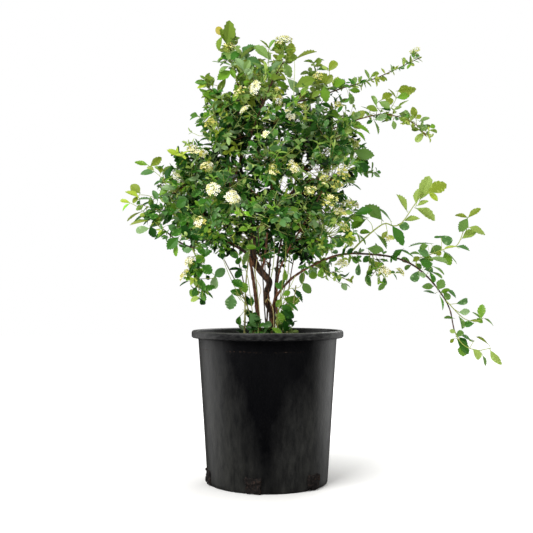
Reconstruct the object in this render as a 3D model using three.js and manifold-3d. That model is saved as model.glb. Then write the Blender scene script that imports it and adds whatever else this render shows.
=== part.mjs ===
// A spirea shrub in a round nursery pot: a crooked trunk with canes round it, arching boughs, and masses
// of leafy twigs with flower heads. Millimetres, +Z up, +X to the right of its best side and +Y to the
// back. The origin is under the middle of the pot. A heading is its way, in degrees from +X towards +Y,
// and its rise above the level.
import * as THREE from "three";
import { mergeVertices } from "three/addons/utils/BufferGeometryUtils.js";
import Module from "manifold-3d";

const wasm = await Module();
wasm.setup();
const { Manifold } = wasm;

// ---- driving dimensions ----

const clearance = 0.3; // between one solid and the next
const pot = {
  height: 297,
  rimRadius: 150,
  rimHeight: 14,
  shoulderRadius: 137, // of the wall just under the rim
  heelRadius: 118, // of the wall at its foot
  wall: 3,
  floor: 4,
  corner: 3, // how far the edges are bevelled
  drains: 6,
  drainWidth: 29,
  drainHeight: 29,
  firstDrain: -103, // the way of the drain beside the front
  segments: 36,
};
const soil = {
  belowRim: 24,
  crown: 8, // how far its middle stands up
  flat: 62, // radius of the level middle that the stems stand on
  plug: 5, // how deep it fills each drain
};
const soilTop = pot.height - soil.belowRim + soil.crown;

const growth = {
  limbStep: 28, // length of a limb's piece
  leaderStep: 34,
  dip: 0.08, // how far a leader with one point hangs below a straight line, in its lengths
  leaderGirths: [2, 1.3],
  twigGirths: [0.7, 0.6],
  firstTwig: 0.12, // where the first one stands, as a share of the leader
  twigGap: 0.55, // along a leader, from one twig to the next, in leaf lengths
  twigTurn: 137.5, // how far round the leader each twig stands from the last
  twigStray: 40, // how much further round chance may turn it
  twigLean: [42, 68], // from the leader's heading
  twigReach: [0.5, 0.72], // a twig's length, in spreads
  shorter: [1, 0.75, 0.5], // shares of that length to try in turn
  crown: 0.6, // of a spread, that twigs past the leader's end count as
  leafGap: 0.6, // from one leaf to the next, in leaf lengths
  leafLean: [46, 72], // from the twig's heading
  leafSizes: [0.88, 1.12], // in leaf lengths
  faceTurn: [-75, 75], // from straight outwards
  faceRise: [5, 50],
  leafWidth: 0.72, // in leaf lengths, as are the next three
  leafWaist: 0.56, // how far along the widest place is
  leafArch: 0.05,
  leafFold: 0.05,
  headRadius: 15,
  headDepth: 13,
  headDome: 6,
  headSides: 6,
  overreach: 1.25, // how far past its spread a leaf may stand
  margin: 0.03, // between two masses' spaces, in spreads
  potMargin: 3, // between the pot or soil and a leaf
  keepOff: 0.8, // between a leaf or twig and another node's limb
  leafRoot: 0.05, // mm3 of a leaf that may lie within what it grows from
  twigRoot: 4,
  attempts: 10, // at a place for each leaf
  shrink: 0.04, // what a leaf loses of its length at each attempt
};

// Limbs: what each grows from and where (a share of the way up a limb, or a place on the soil), the
// points that it then runs through to its tip, and its girths (radii) from foot to tip.
const limbs = tabled(["on", "at", "through", "girths"], {
  trunk: [
    "soil", [7, 0],
    [[1, 2, 386], [-14, -1, 414], [-27, -2, 436], [-29, 0, 482], [-29, 2, 528]],
    [9.6, 7.3, 7, 5.6, 4.6],
  ],
  leader: ["trunk", 1, [[-25, 2, 556], [-52, 6, 608], [-54, 6, 665], [-60, 0, 790]], [4.3, 2.4]],
  right_leader: ["leader", 0.43, [[-35, 2, 688], [-11, -8, 752], [26, -12, 818]], [2.4, 1.5]],
  inner_bough: ["trunk", 0.55, [[-3, -18, 462], [9, -66, 572]], [2.3, 1.5]],
  left_cane: ["soil", [-12, -9], [[-26, -14, 377], [-36, -20, 444]], [4.4, 3.2]],
  left_bough: ["left_cane", 1, [[-76, -18, 471], [-149, -12, 509]], [3.1, 2.1]],
  left_low_bough: ["left_bough", 0.5, [[-134, -24, 460], [-170, -28, 468], [-201, -32, 493]], [2.1, 1.3]],
  dark_cane: ["soil", [10, 17], [[21, 26, 431], [46, 34, 548], [84, 40, 704], [102, 40, 742]], [3.5, 1.8]],
  right_cane: ["soil", [20, -9], [[20, -12, 390], [39, -24, 449], [101, -66, 558]], [3.4, 1.8]],
  front_cane: ["soil", [0, -22], [[-10, -50, 399], [-18, -111, 491]], [2.9, 1.7]],
  back_cane: ["soil", [-3, 24], [[6, 66, 443], [9, 124, 574]], [3.6, 2]],
  arch_inner: [
    "trunk", 0.22,
    [[21, -20, 368], [56, -28, 406], [126, -22, 442], [168, -14, 449]],
    [2.6, 2.1],
  ],
  arch_outer: ["arch_inner", 1, [[244, 0, 443], [304, 12, 418], [358, 20, 357], [375, 20, 296]], [2, 1.1]],
  top_right_bough: ["right_leader", 0.55, [[65, 0, 755], [158, 6, 785]], [1.9, 1.3]],
  upper_right_bough: ["dark_cane", 0.89, [[120, 36, 702], [186, 26, 724]], [1.8, 1.3]],
  pale_shoot: ["soil", [-46, -22], [[-42, -29, 386], [-36, -36, 455]], [1.7, 1.2]],
  thin_shoot: ["soil", [-24, -32], [[-39, -38, 345], [-84, -44, 435]], [1.5, 1]],
  straw_shoot: ["soil", [33, -34], [[50, -41, 352], [55, -46, 385]], [1.6, 1]],
});

// Masses of foliage: the limb that each one's leader leaves and where, the points that the leader runs
// through, how far from it the leaves spread, how long they are, and the number of flower heads.
const masses = tabled(["on", "at", "through", "spread", "leaf", "heads"], {
  top_left: ["leader", 1, [[-72, 0, 830], [-78, -2, 880]], 36, 38, 1],
  upper_left: ["leader", 0.74, [[-110, -14, 772]], 44, 42, 1],
  top_mid: ["right_leader", 1, [[32, -16, 860]], 50, 38, 1],
  top_front: ["leader", 0.86, [[-12, -84, 780]], 56, 44, 1],
  top_back: ["right_leader", 0.62, [[-27, 86, 828]], 56, 46, 0],
  top_right: ["top_right_bough", 1, [[220, 8, 804], [306, 8, 844]], 19, 25, 1],
  upper_front: ["right_leader", 0.3, [[30, -112, 704]], 68, 48, 2],
  upper_right: ["dark_cane", 1, [[98, 26, 802]], 60, 46, 2],
  upper_right_spray: ["upper_right_bough", 1, [[238, 18, 732], [292, 10, 714], [319, 10, 688]], 32, 31, 0],
  upper_back: ["leader", 0.62, [[-66, 118, 770]], 66, 46, 1],
  upper_back_right: ["dark_cane", 0.82, [[146, 98, 716]], 62, 46, 1],
  upper_side_right: ["dark_cane", 0.74, [[134, -70, 668]], 62, 46, 1],
  upper_side_left: ["leader", 0.5, [[-101, -84, 683]], 58, 44, 1],
  mid_left: ["leader", 0.24, [[-149, -14, 626]], 56, 43, 2],
  mid_front: ["inner_bough", 1, [[4, -130, 619]], 66, 46, 2],
  mid_front_left: ["leader", 0.1, [[-86, -112, 566]], 64, 45, 2],
  mid_front_right: ["right_cane", 1, [[114, -116, 610]], 60, 45, 2],
  mid_right: ["dark_cane", 0.62, [[166, 20, 632]], 58, 45, 1],
  mid_back: ["back_cane", 1, [[9, 150, 675]], 66, 47, 1],
  mid_back_left: ["back_cane", 0.76, [[-124, 120, 617]], 64, 46, 1],
  mid_back_right: ["dark_cane", 0.54, [[128, 140, 606]], 64, 46, 1],
  left_wing: ["left_bough", 1, [[-190, -6, 556], [-216, -10, 617]], 42, 36, 1],
  left_tip: ["left_bough", 0.8, [[-178, -24, 522], [-264, -34, 543]], 38, 35, 0],
  left_front: ["left_bough", 0.3, [[-117, -118, 487]], 62, 45, 2],
  left_back: ["left_bough", 0.62, [[-175, 92, 558]], 60, 44, 1],
  left_low: ["left_low_bough", 1, [[-228, -40, 515]], 36, 35, 0],
  left_droop: ["left_low_bough", 0.5, [[-144, -30, 430], [-128, -30, 386]], 44, 38, 1],
  low_front: ["front_cane", 1, [[16, -156, 528]], 62, 47, 1],
  low_right: ["right_cane", 0.6, [[112, -84, 480]], 60, 47, 2],
  low_side_right: ["dark_cane", 0.4, [[134, 24, 528]], 58, 47, 0],
  low_back: ["back_cane", 0.5, [[-54, 146, 512]], 60, 45, 0],
  low_back_right: ["back_cane", 0.6, [[94, 150, 529]], 56, 45, 0],
  arch_skirt: ["arch_inner", 0.62, [[124, -34, 409], [147, -40, 399]], 38, 34, 1],
  arch_shoot: ["arch_inner", 0.97, [[200, -14, 482], [266, -14, 513], [314, -14, 577]], 34, 38, 1],
  arch_under: ["arch_outer", 0.14, [[214, -26, 396]], 40, 36, 1],
  arch_far_shoot: ["arch_outer", 0.42, [[347, 8, 458], [376, 8, 468], [412, 8, 532]], 34, 36, 0],
  arch_side: ["arch_outer", 0.78, [[392, 10, 330], [436, 2, 316]], 28, 34, 0],
  arch_tip: ["arch_outer", 1, [[410, 22, 262], [446, 22, 244]], 30, 34, 0],
  foot_right: ["straw_shoot", 0.7, [[64, -60, 348]], 36, 33, 0],
  foot_left: ["thin_shoot", 1, [[-82, -54, 418], [-72, -62, 378]], 40, 36, 0],
});

// ---- numbers, directions and paths ----

function tabled(columns, rows) {
  const named = ([name, row]) => [name, Object.fromEntries(columns.map((column, i) => [column, row[i]]))];
  return Object.fromEntries(Object.entries(rows).map(named));
}

const radians = THREE.MathUtils.degToRad;
const vector = (x, y, z) => new THREE.Vector3(x, y, z);
const mix = (low, high, share) => low + (high - low) * share;
const moved = (point, ...steps) => {
  const place = point.clone();
  for (const [direction, distance] of steps) place.addScaledVector(direction, distance);
  return place;
};

// Evenly spread numbers from 0 to 1 that a seed fixes.
function seeded(seed) {
  let state = (seed * 7919 + 12345) % 2147483647;
  return () => {
    state = (state * 16807) % 2147483647;
    return state / 2147483647;
  };
}

function heading(way, rise) {
  const level = Math.cos(radians(rise));
  return vector(level * Math.cos(radians(way)), level * Math.sin(radians(way)), Math.sin(radians(rise)));
}

// The value a share of the way through a list of evenly spaced values.
function along(values, share) {
  const place = share * (values.length - 1);
  const before = Math.min(Math.floor(place), values.length - 2);
  return mix(values[before], values[before + 1], place - before);
}

function pointOn(path, share) {
  const place = share * (path.length - 1);
  const before = Math.min(Math.floor(place), path.length - 2);
  return path[before].clone().lerp(path[before + 1], place - before);
}

function headingOn(path, share) {
  const before = Math.min(Math.floor(share * (path.length - 1)), path.length - 2);
  return path[before + 1].clone().sub(path[before]).normalize();
}

// Where a limb or leader starts: on the soil, within the limb that it leaves, or just past that limb's tip.
function startOf({ on, at, through }) {
  if (on === "soil") return vector(...at, soilTop + clearance);
  const start = pointOn(limbs[on].path, at);
  const onwards = vector(...through[0]).sub(start).normalize();
  return at === 1 ? moved(start, [onwards, 2 * clearance]) : start;
}

// A smooth path through a limb's or leader's points. With a single point, it sets out lower and turns up.
function pathOf(grown, step) {
  const start = startOf(grown);
  const points = grown.through.map((point) => vector(...point));
  if (points.length === 1) {
    const middle = start.clone().lerp(points[0], 0.5);
    middle.z -= growth.dip * start.distanceTo(points[0]);
    points.unshift(middle);
  }
  const curve = new THREE.CatmullRomCurve3([start, ...points], false, "catmullrom");
  return curve.getSpacedPoints(Math.max(3, Math.round(curve.getLength() / step)));
}

// The two directions square to a heading: to its left as seen from above, and up.
function across(direction) {
  const aside = Math.abs(direction.z) > 0.95 ? vector(0, 1, 0) : vector(0, 0, 1);
  const left = aside.cross(direction).normalize();
  return { left, up: direction.clone().cross(left) };
}

function turned(direction, away, degrees) {
  return direction
    .clone()
    .multiplyScalar(Math.cos(radians(degrees)))
    .addScaledVector(away, Math.sin(radians(degrees)));
}

// ---- solids ----

// A three.js mesh as a manifold-3d solid, and back.
function solidOf(geometry) {
  const { position } = geometry.attributes;
  return new Manifold(
    new wasm.Mesh({
      numProp: 3,
      vertProperties: new Float32Array(position.array),
      triVerts: new Uint32Array(geometry.index.array),
    }),
  );
}

function geometryOf(made) {
  const { vertProperties, triVerts } = made.getMesh();
  const geometry = new THREE.BufferGeometry();
  geometry.setAttribute("position", new THREE.BufferAttribute(new Float32Array(vertProperties), 3));
  geometry.setIndex(new THREE.BufferAttribute(new Uint32Array(triVerts), 1));
  geometry.computeVertexNormals();
  return geometry;
}

// A three.js shape whose faces don't share vertices, as a solid.
function weldedSolid(geometry) {
  // the welding needs the positions alone
  geometry.deleteAttribute("normal");
  geometry.deleteAttribute("uv");
  return solidOf(mergeVertices(geometry, 1e-4));
}

// A closed skin over rings of points, each ring counterclockwise as seen from the next. A ring of one point
// closes the skin, and a flat cap closes it over any other end.
function skin(rings) {
  const triangles = [];
  let first = 0;
  rings.slice(1).forEach((next, i) => {
    const ring = rings[i];
    const start = first;
    first += ring.length;
    for (let k = 0; k < Math.max(ring.length, next.length); k++) {
      const a = start + (k % ring.length);
      const a2 = start + ((k + 1) % ring.length);
      const b = first + (k % next.length);
      const b2 = first + ((k + 1) % next.length);
      if (ring.length > 1) triangles.push(a, a2, b2);
      if (next.length > 1) triangles.push(a, b2, b);
    }
  });
  for (let k = 2; k < rings[0].length; k++) triangles.push(0, k, k - 1);
  for (let k = 2; k < rings.at(-1).length; k++) triangles.push(first, first + k - 1, first + k);
  const geometry = new THREE.BufferGeometry().setFromPoints(rings.flat());
  return solidOf(geometry.setIndex(triangles));
}

// Rings of a number of sides round a path. The first side of each faces the same way as the last ring's.
function ringsRound(path, girths, sides, extra = 0) {
  let { left } = across(path[1].clone().sub(path[0]).normalize());
  return path.map((point, i) => {
    const before = path[Math.max(i - 1, 0)];
    const after = path[Math.min(i + 1, path.length - 1)];
    const forward = after.clone().sub(before).normalize();
    left = moved(left, [forward, -left.dot(forward)]).normalize();
    const over = forward.clone().cross(left);
    const girth = along(girths, i / (path.length - 1)) + extra;
    return Array.from({ length: sides }, (_, k) =>
      roundAbout(point, { left, up: over }, girth, (360 / sides) * k),
    );
  });
}

function limbSkin({ path, girths, sides }, extra) {
  return skin(ringsRound(path, girths, sides, extra));
}

// A point at a turn round a place, in degrees from left towards up.
function roundAbout(place, { left, up }, radius, turn) {
  return moved(place, [left, radius * Math.cos(radians(turn))], [up, radius * Math.sin(radians(turn))]);
}

// The directions of a leaf's left edge and of the side that looks towards its face.
function bladeSides(forward, face) {
  const up = moved(face, [forward, -face.dot(forward)]).normalize();
  return { left: up.clone().cross(forward), up };
}

// The rings of a leaf from root to tip: round its waist stand its two edges and the midrib between them.
function leafRings(root, forward, face, length) {
  const { left, up } = bladeSides(forward, face);
  const half = (length * growth.leafWidth) / 2;
  const waist = moved(root, [forward, length * growth.leafWaist], [up, length * growth.leafArch]);
  const midrib = moved(waist, [up, length * growth.leafFold]);
  const tip = moved(root, [forward, length]);
  return [[root], [moved(waist, [left, half]), midrib, moved(waist, [left, -half])], [tip]];
}

// A three-sided twig that ends in a leaf.
function twigRings(start, tip, face, length) {
  const forward = tip.clone().sub(start).normalize();
  const sides = bladeSides(forward, face);
  const ring = (point, girth) => [-30, 90, 210].map((turn) => roundAbout(point, sides, girth, turn));
  const [foot, neck] = growth.twigGirths;
  return [ring(start, foot), ring(tip, neck), ...leafRings(tip, forward, face, length).slice(1)];
}

// A flower head: a low dome on an upturned cone.
function headRings(foot, forward) {
  const { headRadius, headDepth, headDome, headSides } = growth;
  const middle = moved(foot, [forward, headDepth]);
  const rim = Array.from({ length: headSides }, (_, k) =>
    roundAbout(middle, across(forward), headRadius, (360 / headSides) * k),
  );
  return [[foot], rim, [moved(middle, [forward, headDome])]];
}

// A shape turned about +Z from [radius, height] points that start and end on the axis, lowest first.
function lathed(profile) {
  const outline = profile.map(([radius, height]) => new THREE.Vector2(radius, height));
  return weldedSolid(new THREE.LatheGeometry(outline, pot.segments).rotateX(Math.PI / 2));
}

// The largest of the bodies that a cut leaves.
function largest(made) {
  return made.decompose().sort((a, b) => b.volume() - a.volume())[0];
}

// ---- pot and soil ----

function wallRadius(height) {
  return mix(pot.heelRadius, pot.shoulderRadius, height / (pot.height - pot.rimHeight));
}

// Boxes at the drains, from a radius outwards, each less than its drain by a gap.
function drainBoxes(inner, gap) {
  const outer = pot.shoulderRadius;
  const boxes = Array.from({ length: pot.drains }, (_, i) => {
    const top = pot.drainHeight - gap;
    const box = new THREE.BoxGeometry(outer - inner, pot.drainWidth - 2 * gap, top + pot.floor);
    box.translate((outer + inner) / 2, 0, (top - pot.floor) / 2);
    box.rotateZ(radians(pot.firstDrain + (360 / pot.drains) * i));
    return weldedSolid(box);
  });
  return Manifold.union(boxes);
}

function makePot() {
  const { height, rimRadius, corner, wall, floor } = pot;
  const rimFoot = height - pot.rimHeight;
  const bore = pot.shoulderRadius - wall;
  const shell = lathed([
    [0, 0],
    [pot.heelRadius - corner, 0],
    [pot.heelRadius, corner],
    [pot.shoulderRadius, rimFoot],
    [rimRadius, rimFoot],
    [rimRadius, height - corner],
    [rimRadius - corner, height],
    [bore, height],
    [bore, rimFoot],
    [wallRadius(floor) - wall, floor],
    [0, floor],
  ]);
  return shell.subtract(drainBoxes(pot.heelRadius - 3 * wall, 0));
}

// The soil fills the pot and shows in its drains.
function makeSoil() {
  const gap = pot.wall + clearance;
  const foot = pot.floor + clearance;
  const edge = pot.height - soil.belowRim;
  const fill = lathed([
    [0, foot],
    [wallRadius(foot) - gap, foot],
    [wallRadius(edge) - gap, edge],
    [soil.flat, soilTop],
    [0, soilTop],
  ]);
  const plugs = lathed([
    [0, foot],
    [wallRadius(foot) - 1, foot],
    [wallRadius(pot.drainHeight) - 1, pot.drainHeight],
    [0, pot.drainHeight],
  ]);
  return fill.add(plugs.intersect(drainBoxes(pot.heelRadius - pot.wall - soil.plug, clearance)));
}

// ---- limbs ----

function limbSolid(limb) {
  const made = limbSkin(limb);
  if (limb.on === "soil") return made.trimByPlane([0, 0, 1], soilTop + clearance);
  return largest(made.subtract(limbSkin(limbs[limb.on], clearance)));
}

// ---- masses ----

// How far a point is from a path.
function distanceTo(path, point) {
  let nearest = Infinity;
  const line = new THREE.Line3();
  const closest = vector(0, 0, 0);
  for (let i = 1; i < path.length; i++) {
    line.set(path[i - 1], path[i]).closestPointToPoint(point, true, closest);
    nearest = Math.min(nearest, closest.distanceTo(point));
  }
  return nearest;
}

function isClearOfPot({ x, y, z }) {
  const offAxis = Math.hypot(x, y);
  if (offAxis > pot.rimRadius + growth.potMargin || z > pot.height + growth.potMargin) return true;
  return offAxis < pot.heelRadius && z > soilTop + growth.potMargin;
}

// Whether points all lie within a mass's own space: nearer to its leader than to any other mass's, as
// measured in spreads, and clear of the pot.
function keepsToSpace(mass, points) {
  const others = Object.values(masses).filter((other) => other !== mass);
  return points.every((point) => {
    const depth = distanceTo(mass.path, point) / mass.spread;
    if (depth > growth.overreach || !isClearOfPot(point)) return false;
    return others.every((other) => distanceTo(other.path, point) / other.spread > depth + growth.margin);
  });
}

// Points over a leaf or flower head, from its ring of widest points to its two ends.
function pointsOver([[root], ring, [tip]]) {
  const between = ring.flatMap((point) => [point.clone().lerp(root, 0.5), point.clone().lerp(tip, 0.5)]);
  return [...ring, ...between, root.clone().lerp(tip, 0.5), tip];
}

function growMass(mass, seed) {
  const random = seeded(seed);
  let grown = limbSkin(mass);
  const others = [...Object.values(limbs), ...Object.values(masses)].filter((other) => other !== mass);
  const obstacles = Manifold.union(others.map((other) => limbSkin(other, growth.keepOff)));

  // Adds a piece if its points are in free space and it meets nothing but what it is rooted in.
  const add = (piece, points, rootVolume) => {
    if (!keepsToSpace(mass, points) || !obstacles.intersect(piece).isEmpty()) return false;
    if (grown.intersect(piece).volume() > rootVolume) return false;
    grown = grown.add(piece);
    return true;
  };

  // A leaf's face looks outwards and up, more or less.
  const faceAt = (point) => {
    const outwards = THREE.MathUtils.radToDeg(Math.atan2(point.y, point.x));
    return heading(outwards + mix(...growth.faceTurn, random()), mix(...growth.faceRise, random()));
  };

  const addLeaf = (root, forward, side) => {
    for (let attempt = 0; attempt < growth.attempts; attempt++) {
      const face = faceAt(root);
      const fan = forward.clone().cross(face).normalize();
      const aside = fan.multiplyScalar(attempt % 2 ? -side : side);
      const direction = turned(forward, aside, mix(...growth.leafLean, random()));
      const length = mass.leaf * mix(...growth.leafSizes, random()) * (1 - growth.shrink * attempt);
      const rings = leafRings(root, direction, face, length);
      if (add(skin(rings), pointsOver(rings), growth.leafRoot)) return;
    }
  };

  const addTwigLeaves = (start, tip, direction) => {
    const leaves = Math.max(1, Math.round(start.distanceTo(tip) / (growth.leafGap * mass.leaf)));
    for (let k = 0; k < leaves; k++) {
      addLeaf(start.clone().lerp(tip, (k + 0.7) / (leaves + 0.3)), direction, k % 2 ? 1 : -1);
    }
  };

  // Adds a twig that ends in a leaf or a flower head, and its leaves.
  const addTwig = (start, direction, length, bloom) => {
    const tip = moved(start, [direction, length]);
    const stalkPoints = [0.3, 0.5, 0.7, 1].map((share) => start.clone().lerp(tip, share));
    const rings = twigRings(start, tip, faceAt(tip), mass.leaf);
    const head = headRings(moved(tip, [direction, -1]), direction);
    const end = bloom ? head : [[tip], ...rings.slice(2)];
    const piece = bloom ? skin(rings.slice(0, 2)).add(skin(head)) : skin(rings);
    const added = add(piece, [...stalkPoints, ...pointsOver(end)], growth.twigRoot);
    if (added) addTwigLeaves(start, tip, direction);
    return added;
  };

  const length = mass.path[0].distanceTo(mass.path[1]) * (mass.path.length - 1);
  const reached = length + growth.crown * mass.spread;
  const twigs = Math.max(2, Math.round(reached / (growth.twigGap * mass.leaf)));
  let headsLeft = mass.heads;
  for (let i = 0; i < twigs; i++) {
    const share = mix(growth.firstTwig, 1, (i + 0.5) / twigs);
    const forward = headingOn(mass.path, share);
    const { left, up } = across(forward);
    const out = turned(left, up, growth.twigTurn * i + growth.twigStray * random());
    const direction = turned(forward, out, mix(...growth.twigLean, random()));
    const reach = mass.spread * mix(...growth.twigReach, random());
    const start = pointOn(mass.path, share);
    addLeaf(pointOn(mass.path, share - 0.4 / twigs), forward, i % 2 ? 1 : -1);
    if (headsLeft > 0 && addTwig(start, direction, reach, true)) headsLeft -= 1;
    else growth.shorter.find((part) => addTwig(start, direction, reach * part, false));
  }
  return largest(grown.subtract(limbSkin(limbs[mass.on], clearance)));
}

// ---- the whole plant ----

const finishes = {
  plastic: { color: 0x17181a, roughness: 0.5 },
  earth: { color: 0x2a1c12, roughness: 0.95 },
  bark: { color: 0x4a2c1b, roughness: 0.85 },
  greenwood: { color: 0x9aa35a, roughness: 0.7 },
  foliage: { color: 0x3f7a35, roughness: 0.6 },
};

const shrub = new THREE.Group();

function addNode(name, made, finish) {
  const material = new THREE.MeshStandardMaterial({ ...finishes[finish], metalness: 0 });
  const mesh = new THREE.Mesh(geometryOf(made), material);
  mesh.name = name;
  shrub.add(mesh);
}

for (const limb of Object.values(limbs)) {
  limb.path = pathOf(limb, growth.limbStep);
  limb.sides = limb.girths[0] > 5 ? 8 : limb.girths[0] > 2 ? 6 : 5;
}
for (const mass of Object.values(masses)) {
  mass.path = pathOf(mass, growth.leaderStep);
  mass.girths = growth.leaderGirths;
  mass.sides = 3;
}

addNode("pot", makePot(), "plastic");
addNode("soil", makeSoil(), "earth");
for (const [name, limb] of Object.entries(limbs)) {
  addNode(name, limbSolid(limb), name.endsWith("shoot") ? "greenwood" : "bark");
}
Object.entries(masses).forEach(([name, mass], i) => {
  addNode(`${name}_foliage`, growMass(mass, i + 1), "foliage");
});

export default shrub;
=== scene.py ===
import math
import random

import bpy
import numpy as np
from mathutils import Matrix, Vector


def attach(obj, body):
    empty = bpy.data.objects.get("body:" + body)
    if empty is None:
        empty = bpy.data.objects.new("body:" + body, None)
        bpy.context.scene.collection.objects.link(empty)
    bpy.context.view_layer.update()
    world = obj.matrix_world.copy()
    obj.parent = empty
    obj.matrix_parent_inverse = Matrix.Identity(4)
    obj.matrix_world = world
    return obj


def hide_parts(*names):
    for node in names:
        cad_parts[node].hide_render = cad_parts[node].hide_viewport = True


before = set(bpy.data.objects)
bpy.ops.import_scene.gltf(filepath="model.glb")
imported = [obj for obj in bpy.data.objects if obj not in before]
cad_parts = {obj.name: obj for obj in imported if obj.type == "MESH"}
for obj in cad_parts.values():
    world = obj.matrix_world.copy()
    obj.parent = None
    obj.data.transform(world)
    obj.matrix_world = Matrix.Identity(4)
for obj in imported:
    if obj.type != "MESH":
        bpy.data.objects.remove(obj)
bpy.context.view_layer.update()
mm = 0.001
up = np.array([0.0, 0.0, 1.0])
front = np.array([0.0, -1.0, 0.0])

# the camera stands in front, a little above the pot's rim, and looks slightly up; step is the width in mm, at
# the pot's axis, of one step of its view, and column and row are its middle column and its level row
view = dict(place=(-0.002, -1.7, 0.364), pitch=92, lens=57.75, step=1.987, column=266.5, row=297)
bpy.ops.object.camera_add(location=view["place"], rotation=(math.radians(view["pitch"]), 0, 0))
bpy.context.object.data.lens = view["lens"]
bpy.context.scene.camera = bpy.context.object

# sizes in mm; the soil is level in its middle, and slopes to its edge
pot = dict(
    height=297, rimRadius=150, rimHeight=14, shoulder=137, heel=118, wall=2.6, lip=2.2, floor=4, corner=3,
    drains=6, drainWidth=29, drainHeight=29, drainCorner=3.2, firstDrain=-103, sides=144,
)
soil = dict(top=281, edge=273, flat=62, sunk=7)

# limbs: what each grows from and where, the points it runs through, and its girths from foot to tip, in mm
limbRows = dict(
    trunk=("soil", (4, 0), [(9, 0, 326), (2, 1, 348), (-1, 1, 370), (4, 2, 392), (-14, -1, 414),
                            (-27, -2, 436), (-29, 0, 482), (-29, 2, 528)],
           (6.8, 5.6, 5.4, 6.6, 7.0, 4.6, 4.0)),
    leader=("trunk", 1, [(-25, 2, 556), (-52, 6, 608), (-54, 6, 665), (-60, 0, 790)], (4.3, 2.4)),
    right_leader=("leader", 0.43, [(-35, 2, 688), (-11, -8, 752), (26, -12, 818)], (2.4, 1.5)),
    inner_bough=("trunk", 0.55, [(-3, -18, 462), (9, -66, 572)], (2.3, 1.5)),
    left_cane=("soil", (-12, -9), [(-26, -14, 377), (-36, -20, 444)], (4.0, 2.9)),
    left_bough=("left_cane", 1, [(-76, -18, 471), (-149, -12, 509)], (3.1, 2.1)),
    left_low_bough=("left_bough", 0.5, [(-134, -24, 460), (-170, -28, 468), (-201, -32, 493)], (2.1, 1.3)),
    dark_cane=("soil", (10, 17), [(21, 26, 431), (46, 34, 548), (84, 40, 704), (102, 40, 742)], (2.5, 1.5)),
    right_cane=("soil", (20, -9), [(20, -12, 390), (39, -24, 449), (101, -66, 558)], (2.1, 1.4)),
    front_cane=("soil", (0, -22), [(-10, -50, 399), (-18, -111, 491)], (1.3, 0.9)),
    back_cane=("soil", (-3, 24), [(6, 66, 443), (9, 124, 574)], (1.9, 1.3)),
    arch_inner=("trunk", 0.22, [(21, -20, 368), (56, -28, 406), (126, -22, 442), (168, -14, 449)],
                (2.6, 2.1)),
    arch_outer=("arch_inner", 1, [(244, 0, 443), (304, 12, 418), (358, 20, 357), (375, 20, 296)], (2.2, 1.2)),
    top_right_bough=("right_leader", 0.55, [(65, 0, 755), (158, 6, 785)], (1.9, 1.3)),
    upper_right_bough=("dark_cane", 0.89, [(120, 36, 702), (186, 26, 724)], (1.8, 1.3)),
    pale_shoot=("soil", (-46, -22), [(-42, -29, 386), (-36, -36, 455)], (1.7, 1.2)),
    thin_shoot=("soil", (-24, -32), [(-39, -38, 345), (-84, -44, 435)], (1.5, 1)),
    straw_shoot=("soil", (33, -34), [(50, -41, 352), (55, -46, 385)], (1.6, 1)),
)

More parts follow.
